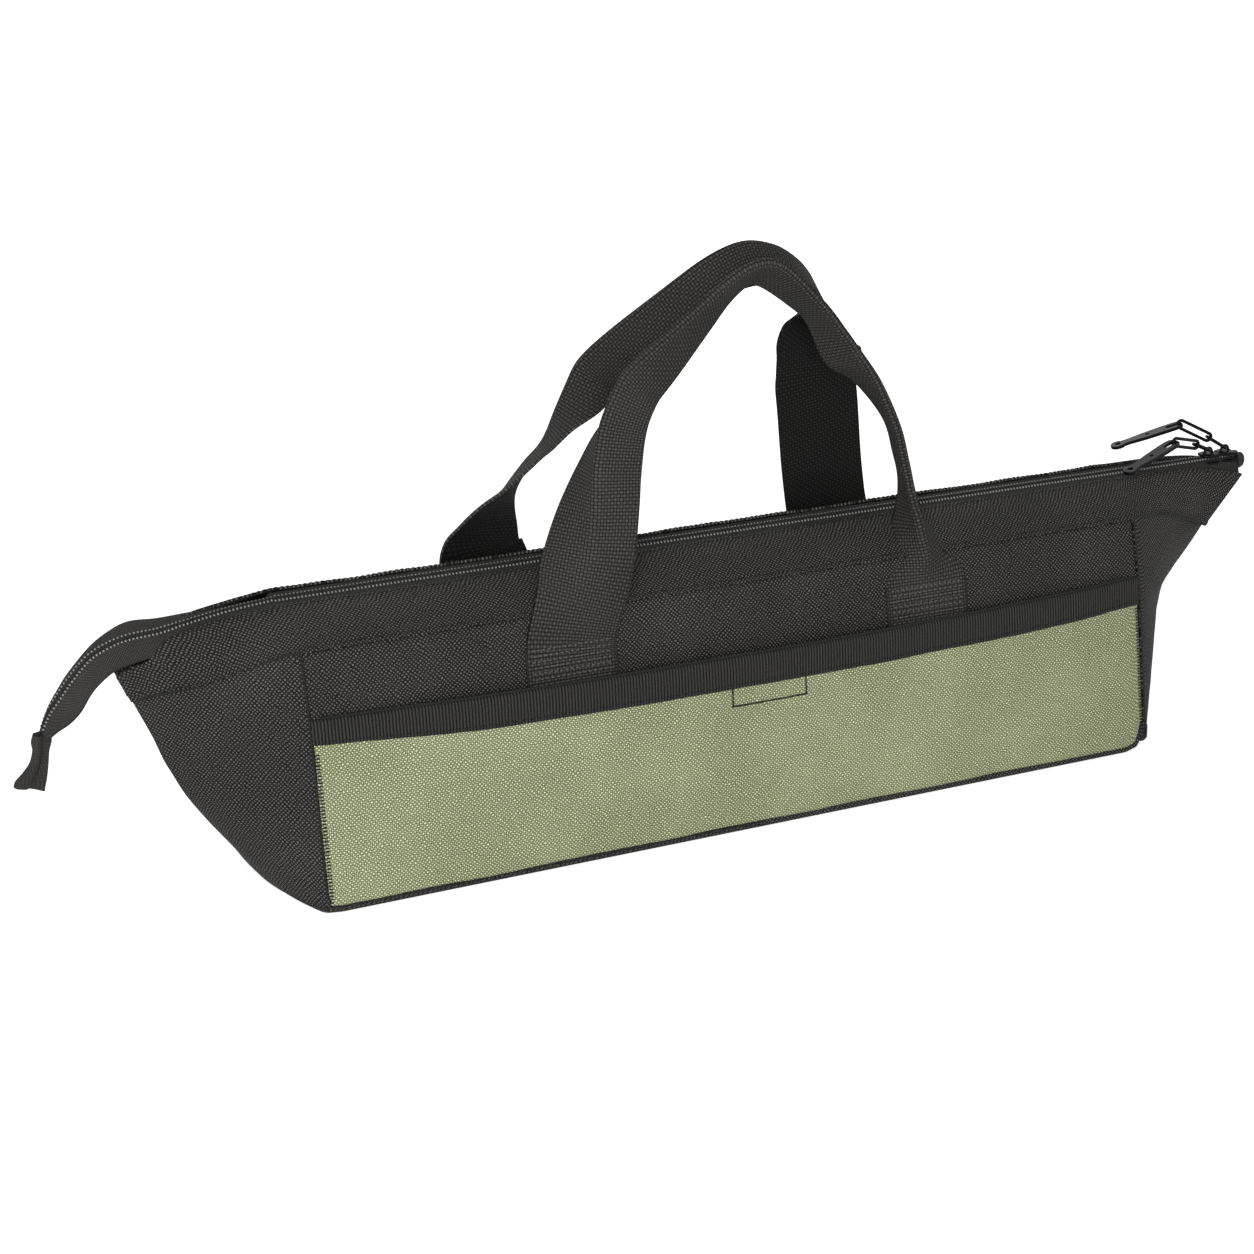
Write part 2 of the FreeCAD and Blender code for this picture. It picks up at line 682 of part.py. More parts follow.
def slider(name, place):
    """A zip slider: two plates over and under the teeth, the post between them and the pull's arch."""
    body = new_body(name + "_slider")
    tape_top = "(%s - $tooth_rise)" % RIDGE
    over = "(%s + $slider_clearance)" % RIDGE
    below = "(%s - $tape_thickness - $slider_clearance)" % tape_top
    outline = [
        ("-$slider_length / 2", "-$slider_nose_width / 2"),
        ("0", "-$slider_width / 2"),
        ("$slider_length / 2", "-$slider_width / 2"),
        ("$slider_length / 2", "$slider_width / 2"),
        ("0", "$slider_width / 2"),
        ("-$slider_length / 2", "$slider_nose_width / 2"),
    ]
    top_plate = new_sketch(body, name + "_top_plate_outline", "XY_Plane", (None, None, over))
    polygon(top_plate, outline)
    pad(body, name + "_top_plate", top_plate, "$slider_plate")
    underside = below + " - $slider_plate"
    post = new_sketch(body, name + "_post_outline", "XY_Plane", (None, None, underside))
    half_post = "$slider_post / 2"
    near = "($slider_length / 2 - $slider_post_length)"
    polygon(post, [
        (near, "-" + half_post), ("$slider_length / 2", "-" + half_post),
        ("$slider_length / 2", half_post), (near, half_post),
    ])
    pad(body, name + "_post", post, "%s - %s + 2 * $slider_plate" % (over, below))
    low_plate = new_sketch(body, name + "_low_plate_outline", "XY_Plane", (None, None, underside))
    polygon(low_plate, outline)
    pad(body, name + "_low_plate", low_plate, "$slider_plate")
    arch = new_sketch(body, name + "_arch_outline", "XZ_Plane")
    deck = "(%s + $slider_plate)" % over
    shoulder = "%s + $bail_rise * %s" % (deck, ARCH_SHOULDER_SHARE)
    crown = deck + " + $bail_rise"
    half_crown = "$bail_length * %s" % ARCH_TOP_SHARE
    polygon(arch, [
        ("-$bail_length / 2", deck + " - $slider_plate / 2"),
        ("$bail_length / 2", deck + " - $slider_plate / 2"),
        ("$bail_length / 2", shoulder),
        (half_crown, crown),
        ("-" + half_crown, crown),
        ("-$bail_length / 2", shoulder),
    ])
    pad(body, name + "_arch", arch, "$bail_width", symmetric=True)
    eye = new_sketch(body, name + "_eye", "XZ_Plane")
    circle(eye, "0", deck + " + $bail_rise / 2", "$bail_hole")
    pocket(body, name + "_eye_hole", eye, "$bail_width + $cut_overrun", symmetric=True)
    body.setExpression("Placement.Base.x", bound(place))


def bail_height():
    return amount(RIDGE) + size("slider_clearance") + size("slider_plate") + size("bail_rise") / 2


def pull_direction(lean, turn):
    """The direction of a pull's piece that points to the left, up by lean and back by turn."""
    level = math.cos(math.radians(lean))
    back = math.radians(turn)
    return V(-level * math.cos(back), level * math.sin(back), math.sin(math.radians(lean)))


def pull_placement(place, lean, turn):
    """Sets a piece that is drawn along -X from its first pivot into its place at rest."""
    rotation = FreeCAD.Rotation(Z_AXIS, -turn).multiply(FreeCAD.Rotation(Y_AXIS, lean))
    return FreeCAD.Placement(place, rotation)


def inner_link(name):
    """The link through the slider's arch: a flat loop with a cross bar at each pivot."""
    body = new_body(name + "_inner_link")
    outline = new_sketch(body, name + "_inner_link_outline", "XY_Plane")
    half = "($link_inner_width / 2 + $link_wire)"
    far = "-($inner_link_pitch + $link_wire / 2)"
    start = "$link_wire / 2"
    polygon(outline, [(start, "-" + half), (start, half), (far, half), (far, "-" + half)])
    pad(body, name + "_inner_link_block", outline, "$link_wire", symmetric=True)
    hole = new_sketch(body, name + "_inner_link_hole", "XY_Plane")
    near = "-$link_wire / 2"
    end = "-($inner_link_pitch - $link_wire / 2)"
    half_hole = "$link_inner_width / 2"
    polygon(hole, [(near, "-" + half_hole), (near, half_hole), (end, half_hole), (end, "-" + half_hole)])
    pocket(body, name + "_inner_link_opening", hole, "$link_wire + $cut_overrun", symmetric=True)
    return body


def outer_link(name):
    """The upright link that hangs on the inner link's far bar."""
    body = new_body(name + "_outer_link")
    half_hole = "$outer_link_inner_height / 2"
    near = "($link_play - %s)" % half_hole
    far = "(-$outer_link_pitch - $link_play + %s)" % half_hole
    outline = new_sketch(body, name + "_outer_link_outline", "XZ_Plane")
    slot(outline, far, near, half_hole + " + $link_wire")
    pad(body, name + "_outer_link_block", outline, "$link_wire", symmetric=True)
    hole = new_sketch(body, name + "_outer_link_hole", "XZ_Plane")
    slot(hole, far, near, half_hole)
    pocket(body, name + "_outer_link_opening", hole, "$link_wire + $cut_overrun", symmetric=True)
    return body


def pull_tab(name):
    """The finger tab: a bar and slot at the link, a small hole, and a ring at the end."""
    body = new_body(name + "_pull_tab")
    outline = new_sketch(body, name + "_tab_outline", "XY_Plane")
    half = "$tab_width / 2"
    waist = "($tab_width * %s)" % TAB_WAIST_SHARE
    head = "%s * %s" % (half, TAB_HEAD_SHARE)
    start = "$link_wire / 2"
    slot_end = "-($tab_slot_length + $link_wire)"
    ring = "-($tab_length - $tab_ring / 2)"
    polygon(outline, [
        (start, "-" + head), (start, head), ("-$link_wire", half), (slot_end, half),
        (ring, waist), (ring, "-" + waist), (slot_end, "-" + half), ("-$link_wire", "-" + half),
    ])
    pad(body, name + "_tab_blade", outline, "$tab_thickness", symmetric=True)
    end = new_sketch(body, name + "_tab_ring_outline", "XY_Plane")
    circle(end, ring, "0", "$tab_ring")
    pad(body, name + "_tab_ring_block", end, "$tab_thickness", symmetric=True)
    holes = new_sketch(body, name + "_tab_holes", "XY_Plane")
    near = "-$link_wire / 2"
    far = "-($tab_slot_length + $link_wire / 2)"
    half_slot = "$tab_slot_width / 2"
    polygon(holes, [(near, "-" + half_slot), (near, half_slot), (far, half_slot), (far, "-" + half_slot)])
    circle(holes, ring, "0", "$tab_ring_hole")
    circle(holes, "-$tab_length * %s" % TAB_HOLE_SHARE, "0", "$tab_hole")
    pocket(body, name + "_tab_openings", holes, "$tab_thickness + $cut_overrun", symmetric=True)
    return body


def pull(name, place_x):
    """One pull: two links and a tab, each hung on the one before."""
    leans = PULL_LEANS[name]
    turn = leans["turn"]
    pivot = V(place_x, 0, bail_height())
    inner_link(name).Placement = pull_placement(pivot, leans["inner"], turn)
    pivot = pivot + pull_direction(leans["inner"], turn) * size("inner_link_pitch")
    outer_link(name).Placement = pull_placement(pivot, leans["outer"], turn)
    pivot = pivot + pull_direction(leans["outer"], turn) * size("outer_link_pitch")
    pull_tab(name).Placement = pull_placement(pivot, leans["tab"], turn)


def hinge_half_depth():
    """Half depth of the line that a handle folds on: the middle of the webbing on the panel."""
    return amount(panel_face_words(HINGE)) + size("hinge_clearance") + size("webbing_thickness") / 2


def handle_section(centre, forward, outward, fold, thick):
    """Webbing folded along its middle: both halves are turned back by the fold angle."""
    across = forward.cross(outward)
    angle = math.radians(fold)
    half = size("webbing_width") / 2
    reach = V(half * math.cos(angle), -half * math.sin(angle), 0)
    wall = V(-thick * math.sin(angle), -thick * math.cos(angle), 0)
    crease = V(0, -thick / math.cos(angle), 0)
    right_edge = reach + wall
    outline = [V(), reach, right_edge, crease, V(-right_edge.x, right_edge.y, 0), V(-reach.x, reach.y, 0)]
    return [centre + across * point.x + outward * point.y for point in outline]


def handle(side, sign, shares):
    """A webbing handle, flat at its two ends and folded double along the grip."""
    hinge = V(0, sign * hinge_half_depth(), amount(HINGE))
    lean = (hinge_half_depth() - size("grip_half_depth")) / size("handle_rise")
    upward = V(0, -sign * lean, 1).normalize()
    outward = X_AXIS.cross(upward) * -sign
    thick = size("webbing_thickness")
    route = []
    for along, height, fold in shares:
        sideways = X_AXIS * along * size("handle_half_spacing")
        route.append(hinge + sideways + upward * height * size("handle_rise"))
    sections = []
    for number, (along, height, fold) in enumerate(shares):
        before = route[max(number - 1, 0)]
        after = route[min(number + 1, len(route) - 1)]
        forward = (after - before).normalize()
        if number == 0:
            forward = upward
        elif number == len(shares) - 1:
            forward = upward * -1
        sections.append(handle_section(route[number] + outward * thick / 2, forward, outward, fold, thick))
    for below_share, thick_share in ROLLED_END_SHARES:
        rolled = thick * thick_share
        edge = outward * rolled / 2 - upward * thick / 2 * below_share
        sections.insert(0, handle_section(route[0] + edge, upward, outward, 0, rolled))
        sections.append(handle_section(route[-1] + edge, upward * -1, outward, 0, rolled))
    new_feature(side + "_handle", faceted(sections, HANDLE_TURNED_STRIPS))


def handle_anchor(side, sign, end, out):
    """The patch of webbing that is sewn flat on the wall, below the handle's fold line."""
    body = new_body("%s_%s_handle_anchor" % (side, end))
    profile = new_sketch(body, "%s_%s_anchor_profile" % (side, end), "YZ_Plane",
                         (None, None, "%d * $handle_half_spacing" % out))
    top = "(%s - $webbing_thickness / 2 - $hinge_clearance)" % HINGE
    low = "(%s - $anchor_height)" % top
    shoulder = "(%s - $webbing_thickness)" % top

    def face(height):
        return "(%s + $sewn_gap)" % panel_face_words(height)

    polygon(profile, [
        ("%d * (%s)" % (sign, face(low)), low),
        ("%d * (%s)" % (sign, face(top)), top),
        ("%d * (%s + $webbing_thickness)" % (sign, face(shoulder)), shoulder),
        ("%d * (%s + $webbing_thickness)" % (sign, face(low)), low),
    ])
    pad(body, "%s_%s_anchor" % (side, end), profile, "$webbing_width", symmetric=True)


def check_document():
    """Stops before anything is written if an object failed or a piece has no sound shape."""
    doc.recompute()
    for item in doc.Objects:
        if "Invalid" in item.State or "Error" in item.State:
            raise RuntimeError("%s failed: %s" % (item.Label, item.State))
    for node in NODES:
        if node.Shape.isNull() or not node.Shape.isValid():
            raise RuntimeError("%s has no sound shape" % node.Label)


def write_parts():
    os.makedirs("parts", exist_ok=True)
    for node in NODES:
        node.Shape.exportStep("parts/%s.step" % node.Label)


base_panel()
base_board()
for side, sign in SIDES.items():
    wall_panel(side, sign)
    side_pocket(side, sign)
    pocket_binding(side, sign)
    top_band(side, sign)
    zip_tape(side, sign)
    zip_teeth(side, sign)
    for end, out in ENDS.items():
        handle_anchor(side, sign, end, out)
for end, out in ENDS.items():
    gusset(end, out)
zip_tail_tab()
zip_end_tab()
handle("front", SIDES["front"], FRONT_HANDLE_SHARES)
handle("back", SIDES["back"], BACK_HANDLE_SHARES)
rear_words = ZIP_END + " - $slider_from_end"
front_words = rear_words + " - $slider_spacing"
for name, words in (("rear", rear_words), ("front", front_words)):
    slider(name, words)
    pull(name, amount(words))
check_document()
write_parts()
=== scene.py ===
import math

import bmesh
import bpy
from mathutils import Matrix, Vector, noise


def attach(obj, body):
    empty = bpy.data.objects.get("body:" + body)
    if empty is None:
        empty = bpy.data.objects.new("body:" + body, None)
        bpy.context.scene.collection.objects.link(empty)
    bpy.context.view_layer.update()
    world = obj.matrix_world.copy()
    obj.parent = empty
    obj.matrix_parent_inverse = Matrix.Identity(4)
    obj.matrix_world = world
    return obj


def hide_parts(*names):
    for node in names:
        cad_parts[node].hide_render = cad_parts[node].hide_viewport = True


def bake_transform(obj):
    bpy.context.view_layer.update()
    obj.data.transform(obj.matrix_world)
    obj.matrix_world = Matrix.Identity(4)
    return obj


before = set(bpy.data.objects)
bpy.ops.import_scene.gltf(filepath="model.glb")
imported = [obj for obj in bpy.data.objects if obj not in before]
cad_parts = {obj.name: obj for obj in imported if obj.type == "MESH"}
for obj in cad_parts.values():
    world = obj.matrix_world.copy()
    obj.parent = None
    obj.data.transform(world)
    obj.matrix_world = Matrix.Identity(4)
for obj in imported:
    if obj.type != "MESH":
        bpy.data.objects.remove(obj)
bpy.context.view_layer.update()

# Zippered tool bag: canvas walls, bound side pockets, webbing handles, a coil zip with a free tail
# and two sliders with chain pulls. Lengths are in millimetres and become metres in finish_piece().
MM = 0.001
SIDES = {"front": -1, "back": 1}
ENDS = {"left": -1, "right": 1}

# Sizes that the solids share. Depths are measured from the middle of the bag to one side.
HALF_LENGTH = 250.0
SEAM_X = 248.6
BASE_HALF = 65.0
END_BOW = 16.0
FOOT_Z = 3.5
SEAM_Z = 132.0
SEAM_Y = 38.0
RIDGE_Z = 150.0
POCKET_Z = 98.0
MOUTH_Y = 47.4
MOUTH_BULGE = 9.5
BINDING = 16.0
WALL_FOOT = (63.3, FOOT_Z)
WALL_HEAD = (38.1, 130.4)
WALL_LEAN = (WALL_FOOT[0] - WALL_HEAD[0]) / (WALL_HEAD[1] - WALL_FOOT[1])
HINGE_Y = 41.812
HINGE_Z = 118.0
HANDLE_RISE = 176.0
GRIP_HALF_DEPTH = 25.6
GRIP_LEAN = (HINGE_Y - GRIP_HALF_DEPTH) / HANDLE_RISE
WEBBING = 50.0
BAIL_Z = 153.65
REAR_X = 339.5
FRONT_X = 327.7

# Thickness of each cloth.
CANVAS_WALL = 1.3
BINDING_WALL = 0.7
ZIP_TAPE_WALL = 0.8
WEBBING_WALL = 1.7


# Small numeric helpers.

def clamp(value, low=0.0, high=1.0):
    return min(max(value, low), high)


def ease(value):
    value = clamp(value)
    return value * value * (3 - 2 * value)


def mix(first, second, share):
    return first + (second - first) * share


def hermite(start, end, slope_in, slope_out, share):
    """A cubic from start to end that leaves and arrives with the given slopes."""
    square = share * share
    cube = square * share
    return ((2 * cube - 3 * square + 1) * start + (cube - 2 * square + share) * slope_in
            + (3 * square - 2 * cube) * end + (cube - square) * slope_out)


def spline(points, place):
    """A smooth curve through evenly numbered points, each a tuple of numbers."""
    last = len(points) - 1
    index = int(clamp(math.floor(place), 0, last - 1))
    before = points[max(index - 1, 0)]
    after = points[min(index + 2, last)]
    nearby = zip(before, points[index], points[index + 1], after)
    return [hermite(b, c, (c - a) / 2, (d - b) / 2, place - index) for a, b, c, d in nearby]


def table(pairs, place):
    """A smooth function through pairs in rising order, level beyond both ends."""
    if place <= pairs[0][0]:
        return pairs[0][1]
    if place >= pairs[-1][0]:
        return pairs[-1][1]
    index = max(i for i in range(len(pairs) - 1) if pairs[i][0] <= place)

    def slope(i):
        low, high = max(i - 1, 0), min(i + 1, len(pairs) - 1)
        return (pairs[high][1] - pairs[low][1]) / (pairs[high][0] - pairs[low][0])

    (x0, y0), (x1, y1) = pairs[index], pairs[index + 1]
    width = x1 - x0
    return hermite(y0, y1, width * slope(index), width * slope(index + 1), (place - x0) / width)


def ripple(wave, point, shift=0):
    """A smooth uneven wave at a place; wave is its height and length in millimetres and its seed."""
    height, length, seed = wave
    seed += shift
    return height * noise.noise(Vector(point) / length + Vector((seed, seed * 2.7, -seed * 1.9)))


def steps(first, last, count):
    """Evenly spaced numbers from first to last, both included."""
    return [mix(first, last, i / count) for i in range(count + 1)]


def path_lengths(path):
    """How far along a path each of its points lies."""
    lengths = [0.0]
    for first, second in zip(path, path[1:]):
        lengths.append(lengths[-1] + (Vector(second) - Vector(first)).length)
    return lengths


def locate(lengths, distance):
    """The stretch of a path that holds a distance, and the share of that stretch."""
    index = max(i for i in range(len(lengths) - 1) if lengths[i] <= distance)
    return index, (distance - lengths[index]) / max(lengths[index + 1] - lengths[index], 1e-6)


# Node helpers for the materials.

def node(tree, kind, inputs=None, **settings):
    made = tree.nodes.new(kind)
    for name, value in settings.items():
        setattr(made, name, value)
    for key, value in (inputs or {}).items():
        if isinstance(value, bpy.types.NodeSocket):
            tree.links.new(value, made.inputs[key])
        else:
            made.inputs[key].default_value = value
    return made


def calc(tree, operation, first, second=0.0, clamped=False):
    made = node(tree, "ShaderNodeMath", {0: first, 1: second}, operation=operation, use_clamp=clamped)
    return made.outputs[0]


def speckle(tree, place, scale, detail):
    """Noise from 0 to 1, with a scale in spots per metre."""
    made = node(tree, "ShaderNodeTexNoise", {"Vector": place, "Scale": scale, "Detail": detail})
    return made.outputs["Fac"]


def arches(tree, turn):
    """A row of arches from 0 to 1, one for each half turn."""
    return calc(tree, "ABSOLUTE", calc(tree, "SINE", turn))


# Spots per metre of the patterns in cloth, tape and hard pieces.
THREAD_DRIFT = 190.0
SLUBS = 900.0
RUBBED_PLACES = 16.0
RIB_SWAY = 240.0
FLECKS = 1100.0
FINE_GRAIN = 2600.0
SCUFFS = 420.0

# Cloth: how round its threads are, how far they glint, how high slubs stand and where it is rubbed.
THREAD_ROUND = 0.45
CLOTH_ROUGH = 0.86
THREAD_GLINT = 0.12
SLUB_HEIGHT = 0.35
RUB_START = 0.42
RUB_SLOPE = 1.6

# Hard pieces: where they are scuffed, and how much rougher their grain is.
SCUFF_START = 0.56
SCUFF_SLOPE = 5.0
GRAIN_ROUGH = 0.16

# Depth of the tape's ribs, pitch of the threads across them and how sharp the ribs are.
RIB_RELIEF = 0.3
RIB_THREAD = 0.75
RIB_SHARPNESS = 1.8


def new_group(name, places, values, results):
    """An empty node group with vector inputs, number inputs and number outputs."""
    group = bpy.data.node_groups.new(name, "ShaderNodeTree")
    sockets = [(socket, "INPUT", "NodeSocketVector") for socket in places]
    sockets += [(socket, "INPUT", "NodeSocketFloat") for socket in values]
    sockets += [(socket, "OUTPUT", "NodeSocketFloat") for socket in results]
    for socket, direction, kind in sockets:
        group.interface.new_socket(socket, in_out=direction, socket_type=kind)
    return group, group.nodes.new("NodeGroupInput").outputs, group.nodes.new("NodeGroupOutput").inputs


def weave_group():
    """Plain weave: threads that go over and under, a little wavy, with a height from 0 to 1."""
    group, inlet, outlet = new_group("plain_weave", ["Place"], ["Across", "Along", "Wander", "Under"],
                                     ["Height"])
    drift = node(group, "ShaderNodeTexNoise", {"Vector": inlet["Place"], "Scale": THREAD_DRIFT,
                                               "Detail": 2.0})
    shift = node(group, "ShaderNodeVectorMath", {0: drift.outputs["Color"], 1: (0.5, 0.5, 0.5)},
                 operation="SUBTRACT")
    shift = node(group, "ShaderNodeVectorMath", {0: shift.outputs[0], "Scale": inlet["Wander"]},
                 operation="SCALE")
    moved = node(group, "ShaderNodeVectorMath", {0: inlet["Place"], 1: shift.outputs[0]}, operation="ADD")
    parts = node(group, "ShaderNodeSeparateXYZ", {0: moved.outputs[0]})
    across = calc(group, "DIVIDE", parts.outputs[0], inlet["Across"])
    along = calc(group, "DIVIDE", parts.outputs[1], inlet["Along"])
    waves = [arches(group, calc(group, "MULTIPLY", count, math.pi)) for count in (across, along)]
    cells = calc(group, "ADD", calc(group, "FLOOR", across), calc(group, "FLOOR", along))
    over = calc(group, "FLOORED_MODULO", cells, 2.0)
    wide = calc(group, "MULTIPLY", calc(group, "POWER", waves[0], THREAD_ROUND), waves[1])
    tall = calc(group, "MULTIPLY", waves[0], calc(group, "POWER", waves[1], THREAD_ROUND))
    part_wide = calc(group, "MULTIPLY", wide, over)
    sunk = calc(group, "MULTIPLY", tall, inlet["Under"])
    part_tall = calc(group, "MULTIPLY", sunk, calc(group, "SUBTRACT", 1.0, over))
    group.links.new(calc(group, "ADD", part_wide, part_tall), outlet["Height"])
    return group


def rubbed_group():
    """Uneven threads: how light they are, from painted shade in the gaps up to their tops, where they are
    rubbed, their roughness and their height.
    """
    group, inlet, outlet = new_group("rubbed_cloth", ["Place", "Body"], ["Threads"],
                                     ["Light", "Rubbed", "Roughness", "Height"])
    threads = inlet["Threads"]
    slub = speckle(group, inlet["Place"], SLUBS, 3.0)
    cloud = speckle(group, inlet["Body"], RUBBED_PLACES, 4.0)
    lift = calc(group, "MULTIPLY", threads, calc(group, "ADD", slub, 0.5))
    rub = calc(group, "MULTIPLY", calc(group, "SUBTRACT", cloud, RUB_START, True), RUB_SLOPE, True)
    rough = calc(group, "SUBTRACT", CLOTH_ROUGH, calc(group, "MULTIPLY", lift, THREAD_GLINT))
    height = calc(group, "ADD", threads, calc(group, "MULTIPLY", slub, SLUB_HEIGHT))
    group.links.new(calc(group, "MULTIPLY", lift, 1.0, True), outlet["Light"])
    group.links.new(calc(group, "MULTIPLY", rub, threads), outlet["Rubbed"])
    group.links.new(rough, outlet["Roughness"])
    group.links.new(height, outlet["Height"])
    return group


def scuffed_group():
    """Fine grain with a few scuffs: where the scuffs are, the roughness and the grain's height."""
    group, inlet, outlet = new_group("scuffed_grain", ["Place"], ["Smooth Roughness"],
                                     ["Scuff", "Roughness", "Height"])
    fine = speckle(group, inlet["Place"], FINE_GRAIN, 2.0)
    broad = speckle(group, inlet["Place"], SCUFFS, 5.0)
    mark = calc(group, "MULTIPLY", calc(group, "SUBTRACT", broad, SCUFF_START, True), SCUFF_SLOPE, True)
    rough = calc(group, "ADD", calc(group, "MULTIPLY", fine, GRAIN_ROUGH), inlet["Smooth Roughness"])
    group.links.new(mark, outlet["Scuff"])
    group.links.new(rough, outlet["Roughness"])
    group.links.new(fine, outlet["Height"])
    return group


PLAIN_WEAVE = weave_group()
RUBBED_CLOTH = rubbed_group()
SCUFFED_GRAIN = scuffed_group()


def place_group(tree, group, **inputs):
    """Puts a node group in a material and gives its outputs."""
    named = {name.replace("_", " "): value for name, value in inputs.items()}
    return node(tree, "ShaderNodeGroup", named, node_tree=group).outputs


def blank_material(name):
    material = bpy.data.materials.new(name)
    material.use_nodes = True
    tree = material.node_tree
    shader = tree.nodes["Principled BSDF"]
    return material, tree, shader


def set_shader(shader, **values):
    for name, value in values.items():
        shader.inputs[name.replace("_", " ")].default_value = value


def colour_mix(tree, share, first, second):
    made = node(tree, "ShaderNodeMix", {"Factor": share}, data_type="RGBA")
    for socket, value in ((made.inputs[6], first), (made.inputs[7], second)):
        if isinstance(value, bpy.types.NodeSocket):
            tree.links.new(value, socket)
        else:
            socket.default_value = (*value, 1.0)
    return made.outputs[2]


def dress(tree, shader, colour, rough, height, strength, depth):
    """Gives a material its colour, roughness and a bump with a depth in millimetres."""
    tree.links.new(colour, shader.inputs["Base Color"])
    tree.links.new(rough, shader.inputs["Roughness"])
    bump = node(tree, "ShaderNodeBump", {"Height": height, "Strength": strength, "Distance": depth * MM})
    tree.links.new(bump.outputs[0], shader.inputs["Normal"])


def woven_material(name, gap, thread, worn, across, along, wander, relief, under):
    """Cloth of threads: painted shade in the gaps and on the lower threads, the thread colour on their tops,
    paler rubbed places and a soft sheen.

    Thread pitches, wander and relief are in millimetres; under is the height of the lower threads.
    """
    material, tree, shader = blank_material(name)
    place = node(tree, "ShaderNodeUVMap", uv_map="weave").outputs[0]
    body = node(tree, "ShaderNodeTexCoord").outputs["Object"]
    weave = place_group(tree, PLAIN_WEAVE, Place=place, Across=across * MM, Along=along * MM,
                        Wander=wander * MM, Under=under)
    cloth = place_group(tree, RUBBED_CLOTH, Place=place, Body=body, Threads=weave["Height"])
    # From the gap colour, painted shade between the threads, up to the thread colour with the threads'
    # height.
    colour = colour_mix(tree, cloth["Light"], gap, thread)
    colour = colour_mix(tree, cloth["Rubbed"], colour, worn)
    dress(tree, shader, colour, cloth["Roughness"], cloth["Height"], 0.85, relief)
    set_shader(shader, Sheen_Weight=0.01, Sheen_Roughness=0.45, Specular_IOR_Level=0.1)
    return material


def ribbed_material(name, gap, thread, pitch):
    """Tape with a rib across it at every pitch, in millimetres, and painted shade in the grooves between the
    ribs.
    """
    material, tree, shader = blank_material(name)
    place = node(tree, "ShaderNodeUVMap", uv_map="weave").outputs[0]
    parts = node(tree, "ShaderNodeSeparateXYZ", {0: place})
    sway = speckle(tree, place, RIB_SWAY, 2.0)
    drift = calc(tree, "MULTIPLY", calc(tree, "SUBTRACT", sway, 0.5), 0.5 * MM)
    turn = calc(tree, "MULTIPLY", calc(tree, "ADD", parts.outputs[0], drift), math.pi / (pitch * MM))
    rib = calc(tree, "POWER", arches(tree, turn), RIB_SHARPNESS)
    cross = arches(tree, calc(tree, "MULTIPLY", parts.outputs[1], math.pi / (RIB_THREAD * MM)))
    height = calc(tree, "MULTIPLY", rib, calc(tree, "ADD", calc(tree, "MULTIPLY", cross, 0.4), 0.6))
    fleck = speckle(tree, place, FLECKS, 2.0)
    lift = calc(tree, "MULTIPLY", height, calc(tree, "ADD", fleck, 0.5), True)
    rough = calc(tree, "SUBTRACT", 0.8, calc(tree, "MULTIPLY", lift, 0.15))
    # The grooves take the gap colour: painted shade.
    dress(tree, shader, colour_mix(tree, lift, gap, thread), rough, height, 0.8, RIB_RELIEF)
    set_shader(shader, Sheen_Weight=0.01, Sheen_Roughness=0.5, Specular_IOR_Level=0.1)
    return material


def hard_material(name, colour, scuff, rough, grain, coat=0.0, shine=0.3):
    """Enamelled metal, moulded nylon or thread with fine grain and a few paler scuffs."""
    material, tree, shader = blank_material(name)
    body = node(tree, "ShaderNodeTexCoord").outputs["Object"]
    finish = place_group(tree, SCUFFED_GRAIN, Place=body, Smooth_Roughness=rough)
    shade = colour_mix(tree, finish["Scuff"], colour, scuff)
    dress(tree, shader, shade, finish["Roughness"], finish["Height"], 0.25, grain)
    set_shader(shader, Coat_Weight=coat, Coat_Roughness=0.2, Specular_IOR_Level=shine)
    return material


# Each cloth's first colour is painted shade in the gaps between its threads, the second is the threads' own
# colour and the third their rubbed colour.
PAINTED_SHADE_BLACK = (0.001, 0.001, 0.001)
CANVAS = woven_material("black_canvas", PAINTED_SHADE_BLACK, (0.125, 0.12, 0.115), (0.16, 0.154, 0.148),
                        across=1.15, along=1.15, wander=2.5, relief=0.55, under=0.1)
GREEN = woven_material("green_canvas", (0.04, 0.05, 0.022), (0.72, 0.77, 0.47), (0.76, 0.8, 0.52),
                       across=1.1, along=1.1, wander=2.5, relief=0.5, under=0.33)
STRAP = woven_material("webbing", PAINTED_SHADE_BLACK, (0.072, 0.069, 0.066), (0.088, 0.085, 0.082),
                       across=1.75, along=1.8, wander=0.35, relief=0.6, under=0.6)
# A darker copy of the webbing for the handles' inner faces: painted shade.
STRAP_INSIDE_PAINTED_SHADE = woven_material("webbing_inside_painted_shade", PAINTED_SHADE_BLACK, (0.02, 0.019, 0.018), (0.024, 0.023, 0.022),
                              across=1.75, along=1.8, wander=0.35, relief=0.5, under=0.5)
TAPE = woven_material("zip_tape", (0.002, 0.002, 0.002), (0.075, 0.072, 0.07), (0.09, 0.087, 0.084),
                      across=0.8, along=0.8, wander=0.4, relief=0.25, under=0.5)
# The binding's first colour is painted shade in the grooves between its ribs.
RIBBED = ribbed_material("ribbed_binding", (0.0005, 0.0005, 0.0005), (0.046, 0.045, 0.043), pitch=1.75)
NYLON = hard_material("zip_nylon", (0.008, 0.008, 0.008), (0.016, 0.016, 0.016), rough=0.5, grain=0.05)
# Pale beads on the black coil's bends: a painted highlight.
COIL_PAINTED_HIGHLIGHT = hard_material("zip_coil_painted_highlight", (0.2, 0.2, 0.196), (0.27, 0.27, 0.265), rough=0.35, grain=0.05,
                          coat=0.1)
METAL = hard_material("black_metal", (0.003, 0.003, 0.0033), (0.01, 0.01, 0.01), rough=0.26, grain=0.04,
                      shine=0.07)
